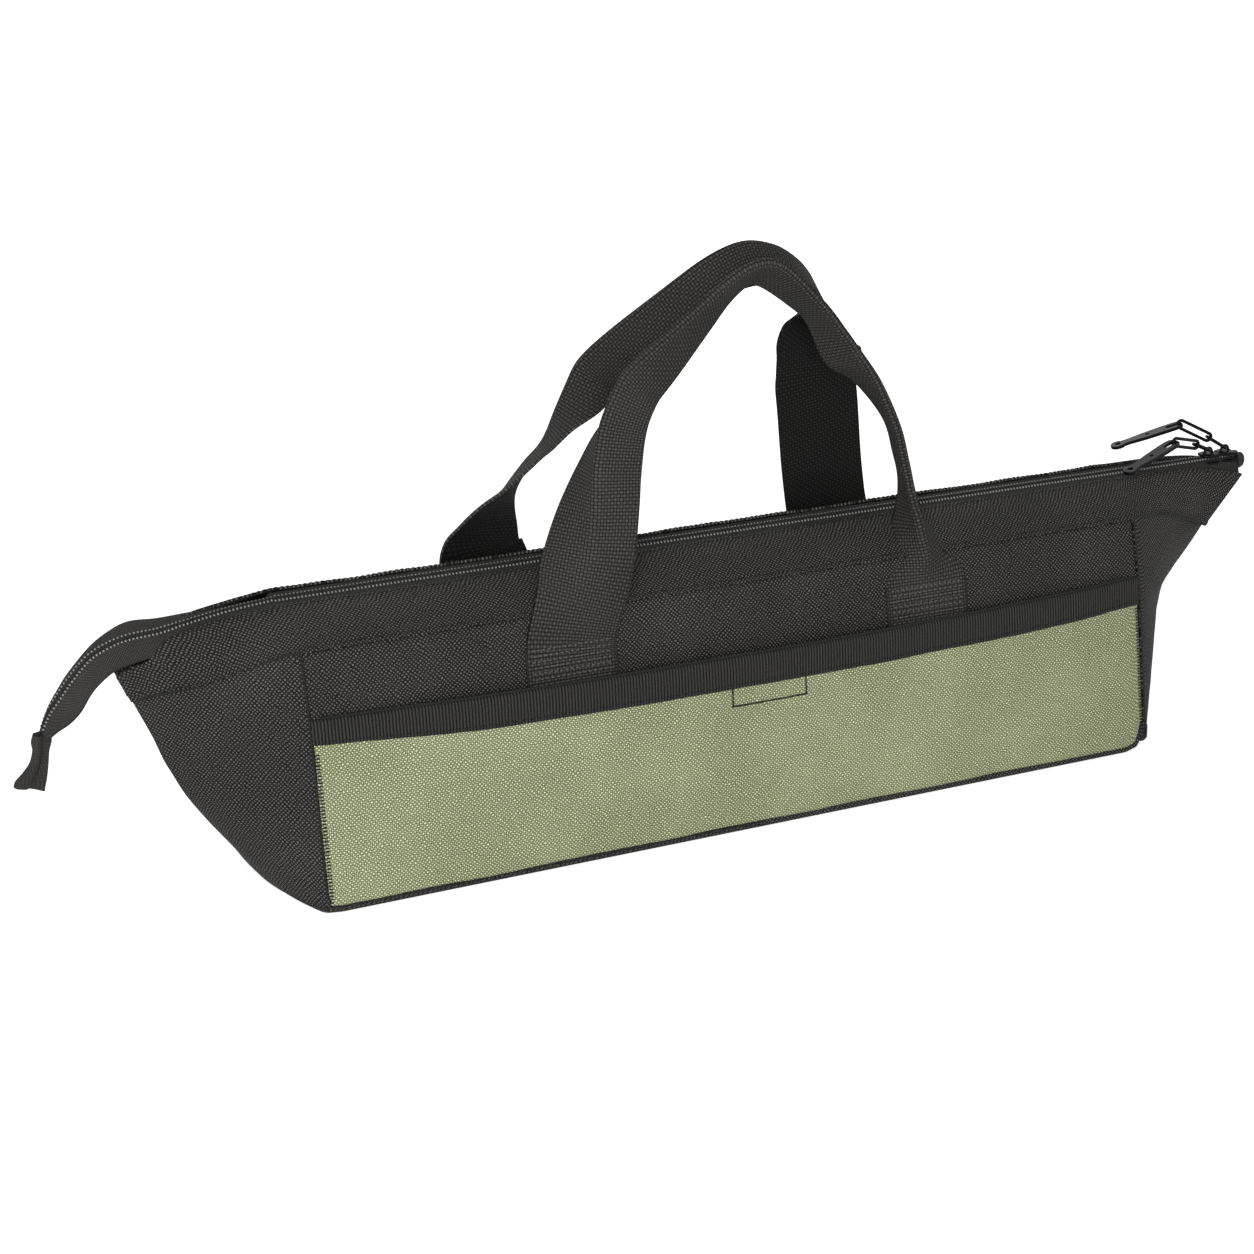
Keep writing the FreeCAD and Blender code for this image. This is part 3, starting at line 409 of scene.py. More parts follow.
# Near-black thread for the stitches, also used for dark lines of painted shade along the binding and the
# wings.
THREAD_AND_SHADE_LINES = hard_material("black_thread_and_painted_shade", (0.004, 0.004, 0.004), (0.012, 0.012, 0.012), rough=0.7, grain=0.1)
GREY_THREAD = hard_material("strap_thread", (0.085, 0.083, 0.08), (0.12, 0.118, 0.115), rough=0.6, grain=0.1)
BOARD = hard_material("base_board", (0.03, 0.03, 0.03), (0.06, 0.06, 0.06), rough=0.5, grain=0.1)


# Mesh helpers.

def finish_piece(name, mesh, material, body, replaced, wall=0.0, bevel=0.0, offset=-1.0, inside=None):
    """Makes an object of a mesh in millimetres and ties it to the frame."""
    mesh.transform(Matrix.Scale(MM, 4))
    for polygon in mesh.polygons:
        polygon.use_smooth = True
    mesh.materials.append(material)
    piece = bpy.data.objects.new(name, mesh)
    bpy.context.scene.collection.objects.link(piece)
    if wall:
        shell = piece.modifiers.new("cloth", "SOLIDIFY")
        shell.thickness = wall * MM
        shell.offset = offset
        shell.use_even_offset = True
        shell.use_quality_normals = True
        # The inner face can take a second material; for the handles it is a darker copy of the webbing,
        # painted shade.
        if inside:
            mesh.materials.append(inside)
            shell.material_offset = 1
    if bevel:
        round_edges = piece.modifiers.new("edges", "BEVEL")
        round_edges.width = bevel * MM
        round_edges.segments = 2
        round_edges.limit_method = "ANGLE"
    if body:
        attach(piece, body)
    if replaced:
        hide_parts(*replaced)
    return piece


def form_mesh(name, form):
    """Turns a bmesh into a mesh."""
    mesh = bpy.data.meshes.new(name)
    form.to_mesh(mesh)
    form.free()
    return mesh


def form_piece(name, form, material, body, replaced, bevel=0.0):
    """Makes a piece of a bmesh of closed shapes."""
    bmesh.ops.recalc_face_normals(form, faces=form.faces)
    return finish_piece(name, form_mesh(name, form), material, body, replaced, bevel=bevel)


def weave_lengths(rows, straight):
    """How far each point of a sheet lies along its own row, and along its own column or the middle one."""
    columns = list(zip(*rows))
    if straight:
        columns = [columns[len(columns) // 2]] * len(columns)
    along = list(zip(*[path_lengths(column) for column in columns]))
    return [path_lengths(row) for row in rows], along


def grid_mesh(name, rows, closed=False, flip=False, straight=False):
    """A sheet through rows of points, with its own lengths as the weave's coordinates."""
    if closed:
        rows = [row + row[:1] for row in rows]
    width = len(rows[0])
    across, along = weave_lengths(rows, straight)
    form = bmesh.new()
    layer = form.loops.layers.uv.new("weave")
    verts = bmesh.ops.create_grid(form, x_segments=width - 1, y_segments=len(rows) - 1, size=1.0)["verts"]
    form.verts.index_update()
    for vert, point in zip(verts, [point for row in rows for point in row]):
        vert.co = point
    for face in form.faces:
        for loop in face.loops:
            row, column = divmod(loop.vert.index, width)
            loop[layer].uv = (across[row][column] * MM, along[row][column] * MM)
    if flip:
        bmesh.ops.reverse_faces(form, faces=form.faces)
    if closed:
        bmesh.ops.remove_doubles(form, verts=form.verts, dist=1e-5)
    return form_mesh(name, form)


def sheet(name, rows, material, replaced=(), wall=0.0, flip=False, body="bag", offset=-1.0,
          inside=None):
    """A piece of cloth through rows of points."""
    mesh = grid_mesh(name, rows, flip=flip, straight=inside is not None)
    piece = finish_piece(name, mesh, material, body, replaced, wall, offset=offset, inside=inside)
    return piece


def cap_ends(mesh, within=1000):
    """Closes the open loops of a closed sheet that stay within a distance from the bag's middle."""
    form = bmesh.new()
    form.from_mesh(mesh)
    near = []
    for edge in form.edges:
        inside = all(abs(v.co.x) < within and abs(v.co.y) < within / 6 for v in edge.verts)
        if edge.is_boundary and inside:
            near.append(edge)
    bmesh.ops.holes_fill(form, edges=near)
    bmesh.ops.recalc_face_normals(form, faces=form.faces)
    form.to_mesh(mesh)
    form.free()


def normal_of(surface, u, v, step=0.01):
    """The direction square to a surface given as a function of two numbers."""
    along = surface(u + step, v) - surface(u - step, v)
    up = surface(u, v + step) - surface(u, v - step)
    return along.cross(up).normalized()


def bead_mesh():
    """A small round bead, which is stretched into stitches and teeth."""
    form = bmesh.new()
    bmesh.ops.create_uvsphere(form, u_segments=8, v_segments=5, radius=1.0)
    return form_mesh("bead", form)


BEAD = bead_mesh()


def add_bead(form, centre, axes, radii):
    """Adds a bead at a place, stretched by three radii along three directions."""
    bead = BEAD.copy()
    place = Matrix([axis * radius for axis, radius in zip(axes, radii)]).transposed().to_4x4()
    place.translation = centre
    bead.transform(place)
    form.from_mesh(bead)
    bpy.data.meshes.remove(bead)


def stitch_run(form, path, outward, pitch=3.1, length=2.3, radius=0.36):
    """Adds a row of sewn stitches along a path of points, half sunk in the cloth."""
    lengths = path_lengths(path)
    count = int(lengths[-1] / pitch)
    for number in range(count):
        index, share = locate(lengths, (number + 0.5) * lengths[-1] / count)
        run = (path[index + 1] - path[index]).normalized()
        aside = outward[index].cross(run).normalized()
        centre = path[index].lerp(path[index + 1], share) + outward[index] * radius * 0.4
        add_bead(form, centre, (aside, run.cross(aside), run), (radius, radius, length / 2))


# Beads of every seam, together with dark lines of painted shade, all in one piece.
STITCHES_AND_SHADE_LINES = bmesh.new()
# Long stitches that join into a dark line: sewn thread at the end seams, painted shade along the wings' lower
# edges, and a dark line beside each edge of the handles' sewn ends.
SEAM_AND_SHADE_LINE = {"pitch": 2.2, "length": 3.8, "radius": 0.62}
BAG_MIDDLE = Vector((0, 0, 75))


def sew(surface, places, **stitch):
    """Sews along a list of (u, v) places on a surface."""
    path = [surface(u, v) for u, v in places]
    outward = []
    for (u, v), point in zip(places, path):
        square = normal_of(surface, u, v)
        outward.append(square if square.dot(point - BAG_MIDDLE) > 0 else -square)
    stitch_run(STITCHES_AND_SHADE_LINES, path, outward, **stitch)


def sample(surface, columns, heights):
    """Rows of points on a surface."""
    return [[surface(u, v) for u in columns] for v in heights]


# The cloth body.

# Radius of the bottom's corners at the two ends.
RIGHT_CORNER = 13.0
LEFT_CORNER = 0.8

# How far cloth is drawn in at the end seams and at the pocket's foot, and how soon that fades.
POCKET_SEAM_PULL = 1.7
SEAM_PULL = 1.6
SEAM_FADE = 2.2
FOOT_PULL = 1.1
FOOT_FADE = 2.0

# The pocket, and how far from the end seams its swell and waves reach their full height.
POCKET_FOOT = 3.6
POCKET_TOP = POCKET_Z - 1.2
POCKET_SWELL = 1.2
SWELL_FADE = 60.0
POCKET_WAVE = (0.7, 46, 3.0)
POCKET_CRINKLE = (0.25, 15, 5.0)
POCKET_WAVE_FADE = 20.0

# The wall, which meets the end seams softly and bellies out above the pocket.
SEAM_BLEND = 14.0
PANEL_BELLY = 1.6
BELLY_FOOT = 90.0
BELLY_HEIGHT = 42.0
BELLY_FADE = 40.0
PANEL_WAVE = (0.9, 42, 9.0)
PANEL_WAVE_FADE = 25.0


def round_rise(inside, radius):
    """Height of a quarter round, from its level end at 0 to its upright end at the radius."""
    inside = clamp(inside, 0.0, radius)
    return radius - math.sqrt(max(radius * radius - inside * inside, 0.0))


def corner_radius(x):
    """Radius of the bottom's corners at the end that x lies towards."""
    return RIGHT_CORNER if x > 0 else LEFT_CORNER


def corner_lift(x):
    """How far the bottom edge is drawn up at the two ends of a long side."""
    radius = corner_radius(x)
    return round_rise(abs(x) - (SEAM_X - radius), radius)


def seam_depth(z):
    """Half depth of the upright end seams."""
    return table([(FOOT_Z, BASE_HALF), (50.0, 56.3), (POCKET_Z, MOUTH_Y), (SEAM_Z, SEAM_Y)], z)


def wall_depth(z):
    """Half depth of the straight wall behind the pocket."""
    return mix(WALL_FOOT[0], WALL_HEAD[0], (z - WALL_FOOT[1]) / (WALL_HEAD[1] - WALL_FOOT[1]))


def pocket_depth(x, z):
    """Half depth of the pocket, whose mouth bulges in the middle of the bag."""
    mouth = MOUTH_Y + MOUTH_BULGE * (1 - (x / SEAM_X) ** 2)
    return mix(BASE_HALF, mouth, (z - FOOT_Z) / (POCKET_Z - FOOT_Z))


def end_gap(x):
    """Distance from the nearer end seam."""
    return SEAM_X - abs(x)


def seam_pull(depth, gap):
    """How far cloth is drawn in at a distance from a seam."""
    return depth * math.exp(-gap / SEAM_FADE)


def pocket_surface(sign):
    """A pocket: x along the bag, t from its foot at 0 to its mouth at 1."""
    def surface(x, t):
        gap = end_gap(x)
        low = POCKET_FOOT + corner_lift(x)
        z = mix(low, POCKET_TOP, t)
        pull = seam_pull(POCKET_SEAM_PULL, gap) + FOOT_PULL * math.exp(-(z - low) / FOOT_FADE)
        swell = POCKET_SWELL * math.sin(math.pi * clamp(t)) * ease(gap / SWELL_FADE)
        wave = ripple(POCKET_WAVE, (x, z, sign * 40)) + ripple(POCKET_CRINKLE, (x, z, 0))
        depth = pocket_depth(x, z) + swell + wave * ease(gap / POCKET_WAVE_FADE) - pull
        return Vector((x, sign * depth, z))
    return surface


def panel_surface(sign):
    """A long wall: x along the bag and z up."""
    def surface(x, z):
        gap = end_gap(x)
        wave = ripple(PANEL_WAVE, (x, z, sign * 70)) * ease(gap / PANEL_WAVE_FADE)
        height = clamp((z - BELLY_FOOT) / BELLY_HEIGHT)
        belly = PANEL_BELLY * math.sin(math.pi * height) * ease(gap / BELLY_FADE)
        depth = mix(wall_depth(z), seam_depth(z), math.exp(-gap / SEAM_BLEND)) + wave + belly
        return Vector((x, sign * (depth - seam_pull(SEAM_PULL, gap)), z))
    return surface


# Places round the folded tape: offset from the pocket's face, and height above the pocket's mouth.
BINDING_FOLD = [
    (0.75, -BINDING), (1.0, -BINDING * 0.55), (1.0, -2.0), (0.4, 0.1),
    (-1.1, 0.75), (-2.6, 0.1), (-3.1, -2.0), (-3.0, -BINDING * 0.8),
]
# How far the binding's upper and lower edge rise towards each end, and over what length.
BINDING_LIFT = {-1: (1.2, 5.4), 1: (2.2, 3.4)}
LIFT_REACH = 60.0
BINDING_RISE = (0.5, 60, 15.0)
BINDING_WAVE = (0.25, 24, 12.0)
BINDING_STAND = 0.25


def binding_surface(sign):
    """The binding: x along the bag, number along the places round its fold."""
    pocket = pocket_surface(sign)

    def surface(x, number):
        offset, above = spline(BINDING_FOLD, number)
        low_share = clamp(-above / BINDING)
        near = math.exp(-(end_gap(x) / LIFT_REACH) ** 2)
        upper, lower = BINDING_LIFT[-1 if x < 0 else 1]
        z = POCKET_Z + above + near * mix(upper, lower, low_share)
        rise = ripple(BINDING_RISE, (x, 0, sign * 9))
        low = POCKET_FOOT + corner_lift(x)
        under = abs(pocket(x, clamp((z + rise - low) / (POCKET_TOP - low))).y)
        wave = BINDING_STAND + ripple(BINDING_WAVE, (x, z, sign * 20))
        return Vector((x, sign * (under + offset + wave), z + rise))
    return surface


# For each end of a top band: how far its upper edge reaches past the corner seam, that edge's half depth
# at the tip, and its places as x and height.
BAND_TOPS = {
    -1: (84.0, 5.0, [(-334.0, 124.6), (-329.0, 128.0), (-317.4, 131.5), (-309.5, 139.3), (-296.0, 144.4),
                     (-272.0, 148.0), (-250.0, 149.8)]),
    1: (96.0, 8.6, [(250.0, 150.0), (300.0, 149.6), (322.0, 147.6), (336.0, 144.5), (346.0, 141.5)]),
}
BAND_TOP_Y = 7.4
BAND_TOP_Z = RIDGE_Z - 0.1
BAND_EDGE_RISE = {-1: -2.4, 1: 0.9}
BAND_STAND = 0.9
BAND_BELLY = 1.3
BAND_WAVE = (0.8, 38, 21.0)
BAND_CRINKLE = (0.3, 13, 23.0)
WING_REACH = 77.0
WING_DROP = 24.5
WING_TIP_Y = 1.8
LEFT_WING_SAG = 3.6
RIGHT_WING_ARCH = 4.0

# Hems: how thick the wing's tip is and where that starts along the wing, and the same for the lower edge
# of the band on the wall and on the wing.
TIP_HEM = 0.9
TIP_HEM_START = 0.9
TIP_HEM_STEP = 0.03
WALL_HEM = 0.15
WING_HEM = 0.8
WING_HEM_START = 0.05
HEM_HEIGHT = 0.09
HEM_STEP = 0.04


def wing_seam_height(end, s):
    """Height of the sewn lower edge of a wing, s from the corner seam at 0 to the tip at 1."""
    if end < 0:
        return SEAM_Z - WING_DROP * s - LEFT_WING_SAG * math.sin(math.pi * s) ** 4
    return SEAM_Z - WING_DROP * s + RIGHT_WING_ARCH * math.sin(math.pi * s)


def band_surface(sign):
    """A top band: u runs along it from -2 at the left wing's end to 2 at the right one's, v up to the zip."""
    def surface(u, v):
        s = clamp(abs(u) - 1)
        if abs(u) > 1:
            end = 1 if u > 0 else -1
            reach, tip_y, edge = BAND_TOPS[end]
            low = Vector((end * (HALF_LENGTH + WING_REACH * s), mix(SEAM_Y, WING_TIP_Y, s),
                          wing_seam_height(end, s)))
            x = end * (HALF_LENGTH + reach * s)
            high = Vector((x, mix(BAND_TOP_Y, tip_y, s), table(edge, x)))
        else:
            low = Vector((HALF_LENGTH * u, SEAM_Y, SEAM_Z))
            high = Vector((HALF_LENGTH * u, BAND_TOP_Y, BAND_TOP_Z))
        high.z += BAND_EDGE_RISE[sign]
        point = low.lerp(high, v)
        wave = ripple(BAND_WAVE, (point.x, point.z, sign * 33)) + ripple(BAND_CRINKLE, point)
        belly = BAND_BELLY * math.sin(math.pi * clamp(v)) * (1 - s)
        hem = TIP_HEM * ease((s - TIP_HEM_START) / TIP_HEM_STEP)
        hem += mix(WALL_HEM, WING_HEM, ease(s / WING_HEM_START)) * ease((HEM_HEIGHT - v) / HEM_STEP)
        slope = math.atan2(high.z - low.z, low.y - high.y)
        out = BAND_STAND + hem + belly + wave * (1 - 0.5 * s) * ease(v / 0.15)
        point.y += math.sin(slope) * out
        point.z += math.cos(slope) * out * (1 - s)
        point.y *= sign
        return point
    return surface


# How far the middle of each end wall reaches along the bag, as height and reach.
GUSSET_FOLD = {
    "left": [(0, 266), (10, 274), (32, 289), (50, 301), (65, 308.5), (84, 315.5), (104, 324), (112, 328)],
    "right": [(0, 267), (20, 279), (40, 289.5), (55, 296), (70, 300), (77, 302.5), (83, 308), (95, 318),
              (108, 328)],
}
GUSSET_FOOT = 3.4
GUSSET_HALF = 60.0
GUSSET_TUCK = 1.6
GUSSET_CREASE = 0.94
FOLD_FOOT = 12.0
FOLD_HEIGHT = 70.0
GUSSET_WAVE = (1.0, 34, 31.0)
GUSSET_CRINKLE = (0.35, 12, 35.0)


def gusset_surface(end):
    """An end wall: t runs from the front seam at -1 to the back seam at 1, q from the bottom to the top."""
    out = ENDS[end]

    def surface(t, q):
        side = abs(t)
        radius = corner_radius(out)
        low = GUSSET_FOOT + round_rise(BASE_HALF * side - (BASE_HALF - radius), radius)
        z = mix(low, wing_seam_height(out, 1 - side) + GUSSET_TUCK, q)
        bowed = 1 - t * t
        folded = (1 - side) ** GUSSET_CREASE
        shape = mix(bowed, folded, ease((z - FOLD_FOOT) / FOLD_HEIGHT))
        x = HALF_LENGTH + (table(GUSSET_FOLD[end], z) - HALF_LENGTH) * shape
        depth = seam_depth(z) * t
        wave = ripple(GUSSET_WAVE, (x, depth, z), shift=out) + ripple(GUSSET_CRINKLE, (x, depth, z))
        x += wave * ease((1 - side) * 5) * ease(q * 8) - seam_pull(SEAM_PULL, (1 - side) * GUSSET_HALF)
        return Vector((out * x, depth, z))
    return surface


# The bottom cloth from its middle out and up round its lip: inset from the outline, and height.
BASE_PROFILE = ((40, 0.5), (12, 0.35), (3.0, 0.3), (1.2, 0.55), (0.2, 1.3), (-0.25, 2.3), (0.0, 3.4),
                (0.9, 4.3), (2.6, 4.6))
BASE_END = SEAM_X + 1.2
LIP_WAVE = (0.5, 30, 41.0)
LIP_HEIGHTS = (1, 4)


def base_outline(count):
    """The bottom's outline, starting in the middle of the front edge, as (x, y)."""
    points = [(x, -BASE_HALF) for x in steps(0, SEAM_X, count)]
    points += [(BASE_END + END_BOW * (1 - y * y), BASE_HALF * y) for y in steps(-1, 1, count)[1:]]
    points += [(x, BASE_HALF) for x in steps(SEAM_X, -SEAM_X, count * 2)[1:]]
    points += [(-BASE_END - END_BOW * (1 - y * y), BASE_HALF * y) for y in steps(1, -1, count)[1:]]
    return points + [(x, -BASE_HALF) for x in steps(-SEAM_X, 0, count)[1:-1]]


def base_lift(x, y):
    """How far the bottom is drawn up at its corners."""
    radius = corner_radius(x)
    if abs(x) > SEAM_X - 1:
        return round_rise(abs(y) - (BASE_HALF - radius), radius)
    return corner_lift(x) * ease((abs(y) - 30) / 30)


def base_rows():
    """Rings of points from the bottom's middle out to its lip."""
    rows = []
    for inset, height in BASE_PROFILE:
        row = []
        for x, y in base_outline(40):
            px = x * (1 - inset / (SEAM_X + END_BOW))
            py = y * (1 - inset / BASE_HALF)
            on_lip = LIP_HEIGHTS[0] < height < LIP_HEIGHTS[1]
            bulge = ripple(LIP_WAVE, (x, y, 3)) if on_lip else 0.0
            row.append(Vector((px, py * (1 + bulge / (2 * BASE_HALF)), height + base_lift(x, y))))
        rows.append(row)
    return rows


# Columns of the long walls, closer together near the end seams.
SEAM_COLUMNS = (0.7, 1.5, 2.4, 4.6, 6.0, 8.0, 10.0, 12.0)
WALL_COLUMNS = sorted(steps(-SEAM_X, SEAM_X, 150)
                      + [end * (SEAM_X - gap) for end in (-1, 1) for gap in SEAM_COLUMNS])
BAND_COLUMNS = steps(-2, -1, 44) + steps(-1, 1, 120)[1:] + steps(1, 2, 48)[1:]
GUSSET_EDGE = [-1, -0.99, -0.98, -0.965, -0.95, -0.92]
GUSSET_COLUMNS = GUSSET_EDGE + steps(-0.88, 0.88, 44) + [-place for place in reversed(GUSSET_EDGE)]
AXES = (Vector((1, 0, 0)), Vector((0, 1, 0)), Vector((0, 0, 1)))

# The short stitches across each end of a pocket: their inset from the seam and their radii.
END_STITCH_INSET = 2.2
END_STITCH = (1.7, 0.4, 0.45)


def build_side(side, sign):
    """A long side: pocket, wall, binding and top band, and the threads that sew them."""
    flip = sign > 0
    pocket = pocket_surface(sign)
    rows = sample(pocket, WALL_COLUMNS, [0, 0.012, 0.025, 0.045, 0.07] + steps(0.1, 1, 30))
    sheet(side + "_pocket_cloth", rows, GREEN, [side + "_pocket"], CANVAS_WALL, flip)
    for end in (-1, 1):
        for t in steps(0.05, 0.84, 42):
            centre = pocket(end * (SEAM_X - END_STITCH_INSET), t) + Vector((0, sign * 0.1, 0))
            add_bead(STITCHES_AND_SHADE_LINES, centre, AXES, END_STITCH)
    rows = sample(panel_surface(sign), WALL_COLUMNS, steps(6, 84, 10) + steps(87, 132.3, 20))
    sheet(side + "_panel_cloth", rows, CANVAS, [side + "_panel"], CANVAS_WALL, flip)
    binding = binding_surface(sign)
    rows = sample(binding, WALL_COLUMNS, steps(0, 7, 28))
    sheet(side + "_binding_tape", rows, RIBBED, [side + "_pocket_binding"], BINDING_WALL,
          flip)
    band = band_surface(sign)
    rows = sample(band, BAND_COLUMNS, [0, 0.03, 0.06, 0.09, 0.12] + steps(0.18, 1, 16))
    sheet(side + "_band_cloth", rows, CANVAS, [side + "_top_band"], CANVAS_WALL, flip)
    sew(band, [(u, 0.075) for u in steps(-1, 1, 130)], radius=0.28)
    for end in (-1, 1):
        # A dark line along each wing's lower edge: painted shade under the band's edge.
        sew(band, [(end * u, 0.01) for u in steps(1.0, 1.97, 60)], **SEAM_AND_SHADE_LINE)
        path = []
        for z in steps(9, 131, 60):
            path.append(Vector((end * (SEAM_X + 0.3), sign * (seam_depth(z) - 0.4), z)))
        stitch_run(STITCHES_AND_SHADE_LINES, path, [Vector((end, sign, 0)).normalized()] * len(path), **SEAM_AND_SHADE_LINE)
    sew(band, [(u, 0.94) for u in steps(-1.62, 1.9, 240)])
    sew(binding, [(x, 0.35) for x in steps(-SEAM_X + 4, SEAM_X - 4, 160)], pitch=2.9)
    # A continuous thick dark thread along the binding's top and back: painted shade under the pocket's mouth.
    places = [(x, 4.2) for x in steps(-SEAM_X + 6, SEAM_X - 6, 160)]
    sew(binding, places, pitch=2.4, length=4.0, radius=0.9)


def build_end(end):
    """An end wall."""
    rows = sample(gusset_surface(end), GUSSET_COLUMNS, steps(0, 1, 44))
    sheet(end + "_gusset_cloth", rows, CANVAS, [end + "_gusset"], CANVAS_WALL,
          flip=end == "left")


def build_base():
    """The bottom cloth with its lip."""
    mesh = grid_mesh("base_cloth", base_rows(), closed=True)
    cap_ends(mesh, within=250)
    piece = finish_piece("base_cloth", mesh, CANVAS, "bag", ["base_panel"])


def build_pocket_tack():
    """The small three-sided line of stitches under the front pocket's binding."""
    top, low, left, right = 0.85, 0.735, -18.7, 25.5
    places = [(left, t) for t in steps(top, low, 8)] + [(x, low) for x in steps(left, right, 14)[1:]]
    places += [(right, t) for t in steps(low, top, 8)[1:]]
    sew(pocket_surface(-1), places, pitch=2.0, length=3.4, radius=0.48)


# The zip.

ZIP_Z = 148.3
ZIP_RIGHT = 346.0

# Half depth and height of the tapes' edges on the ridge and at the right end, and where they drop to that.
FRONT_EDGE = (9.0, 146.2)
FRONT_EDGE_END = (7.6, 137.0)
BACK_EDGE = (8.4, 149.6)
BACK_EDGE_END = (8.4, 137.0)
EDGE_DROP_X = 285.0
EDGE_DROP = 60.0
TAPE_BEND = 5.0
BACK_BEND_RISE = 0.4
TAIL_FLUTTER = (0.7, 17, 50.0)

# The coil: pitch, how far its turns spread on the ridge and on the tail, and the radii of a turn, whose
# length is a share of the spread, and of its bend.
COIL_PITCH = 2.0
RIDGE_SPREAD = 2.2
TAIL_SPREAD = 1.35
TURN = (0.66, 0.7, 0.46)
TURN_PLACE = 0.7
TURN_RISE = 0.62
# The bend beads are pale: a painted highlight on the coil.
BEND = (0.58, 0.62, 0.7)
BEND_RISE = 0.75

ZIP_TAIL = [
    # centre of the tape (x, z), then the front and the back edge (x, y, z)
    (-250.0, 148.3, -250.0, -9.0, 146.9, -250.0, 9.0, 146.9),
    (-272.6, 146.4, -273.0, -9.0, 143.4, -272.0, 9.0, 145.9),
    (-296.0, 143.1, -297.0, -8.0, 137.0, -295.0, 9.0, 145.4),
    (-309.4, 141.0, -312.0, -6.5, 131.5, -308.0, 8.6, 145.2),
    (-325.0, 140.2, -327.0, -5.0, 127.2, -323.0, 8.2, 145.6),
    (-335.4, 137.6, -336.0, -4.2, 123.6, -333.5, 8.0, 141.8),
    (-345.2, 132.9, -345.0, -3.7, 116.5, -343.5, 7.2, 135.6),
    (-354.8, 123.4, -352.0, -3.4, 106.2, -353.0, 6.6, 124.6),
    (-361.4, 115.0, -358.0, -3.2, 100.6, -359.5, 6.0, 115.2),
    (-367.2, 107.0, -364.0, -3.0, 97.4, -365.0, 5.4, 106.2),
    (-371.7, 97.0, -369.4, -2.8, 94.0, -370.0, 5.0, 97.0),
]


def zip_station(place):
    """Centre, front and back edge of the zip: place 0 to 1 on the ridge, then one for each tail point."""
    if place <= 1:
        x = mix(ZIP_RIGHT, -HALF_LENGTH, place)
        drop = ease((x - EDGE_DROP_X) / EDGE_DROP)
        front_y, front_z = [mix(ridge, end, drop) for ridge, end in zip(FRONT_EDGE, FRONT_EDGE_END)]
        back_y, back_z = [mix(ridge, end, drop) for ridge, end in zip(BACK_EDGE, BACK_EDGE_END)]
        return Vector((x, 0, ZIP_Z)), Vector((x, -front_y, front_z)), Vector((x, back_y, back_z))
    row = spline(ZIP_TAIL, place - 1)
    return Vector((row[0], 0, row[1])), Vector(row[2:5]), Vector(row[5:8])


ZIP_PLACES = steps(0, 1, 60) + steps(1, len(ZIP_TAIL), 70)[1:]


def zip_frame(place):
    """Centre, run, crosswise and upward directions of the zip."""
    centre, front, back = zip_station(place)
    low = max(place - 0.01, 0.0)
    high = min(place + 0.01, len(ZIP_TAIL))
    run = (zip_station(high)[0] - zip_station(low)[0]).normalized()
    across = back - front
    across = (across - run * across.dot(run)).normalized()
    return centre, run, across, across.cross(run).normalized()


def build_zip_tape(side, sign):
    """One tape of the zip, bent down from the coil to its sewn edge."""
    rows = []
    for place in ZIP_PLACES:
        centre, front, back = zip_station(place)
        edge = front if sign < 0 else back
        across = zip_frame(place)[2]
        bend = centre + across * sign * TAPE_BEND + Vector((0, 0, BACK_BEND_RISE if sign > 0 else 0.0))
        row = []
        for t in steps(0, 1, 10):
            point = centre.lerp(bend, t).lerp(bend.lerp(edge, t), t)
            flutter = ripple(TAIL_FLUTTER, point, shift=sign) * t * ease(place - 1.5)
            row.append(point + Vector((0, flutter, flutter * 0.4)))
        rows.append(row)
    sheet(side + "_zip_tape_cloth", rows, TAPE, [side + "_zip_tape"], ZIP_TAPE_WALL,
          flip=sign < 0)


def build_coil(side, sign):
    """One row of the coil: dark turns from the middle of the zip out over its tape, and pale beads on their
    bends, a painted highlight.
    """
    lengths = path_lengths([zip_station(place)[0] for place in ZIP_PLACES])
    first = 0.75 if sign < 0 else 0.25
    turns = bmesh.new()
    bends = bmesh.new()
    for number in range(int(lengths[-1] / COIL_PITCH) - 1):
        index, share = locate(lengths, (number + first) * COIL_PITCH)
        place = mix(ZIP_PLACES[index], ZIP_PLACES[index + 1], share)
        centre, run, across, up = zip_frame(place)
        out = across * sign
        spread = mix(RIDGE_SPREAD, TAIL_SPREAD, ease((place - 1) / 2))
        middle = centre + out * spread * TURN_PLACE + up * TURN_RISE
        add_bead(turns, middle, (run, up, out), (TURN[0], TURN[1], spread * TURN[2]))
        # A pale bead on the bend: a painted highlight.
        add_bead(bends, centre + out * spread + up * BEND_RISE, (run, up, out), BEND)
    form_piece(side + "_coil", turns, NYLON, "bag", [side + "_zip_teeth"])
    form_piece(side + "_coil_tip_highlights", bends, COIL_PAINTED_HIGHLIGHT, "bag", [])


# The tab on the zip's tail, down its middle: x, height, half width and half thickness.
TAIL_TAB = [
    (-371.6, 97.4, 4.6, 2.6), (-372.2, 93.0, 5.2, 3.0), (-372.8, 88.0, 4.3, 3.1), (-374.4, 81.0, 5.0, 2.8),
    (-377.0, 75.0, 6.7, 2.5), (-379.6, 70.4, 8.2, 2.3), (-380.1, 69.3, 8.0, 1.7),
]
# The tab on the zip's right end: share of its length, half width, lower and upper height.
END_TAB = [
    (0.0, 4.6, 142.4, 149.6), (0.06, 5.3, 141.2, 150.2), (0.4, 5.5, 140.6, 150.4),
    (0.72, 5.3, 141.4, 150.0), (0.9, 4.6, 142.8, 149.0), (1.0, 3.2, 144.4, 147.4),
]
END_TAB_X = 346.4
END_TAB_LENGTH = 5.4
END_TAB_GROOVE = 1.3
TAIL_TAB_FOLD = 1.2
TAIL_TAB_CRINKLE = (0.4, 7, 60.0)
END_TAB_WAVE = (0.3, 5, 64.0)
END_TAB_CRINKLE = (0.3, 6, 66.0)


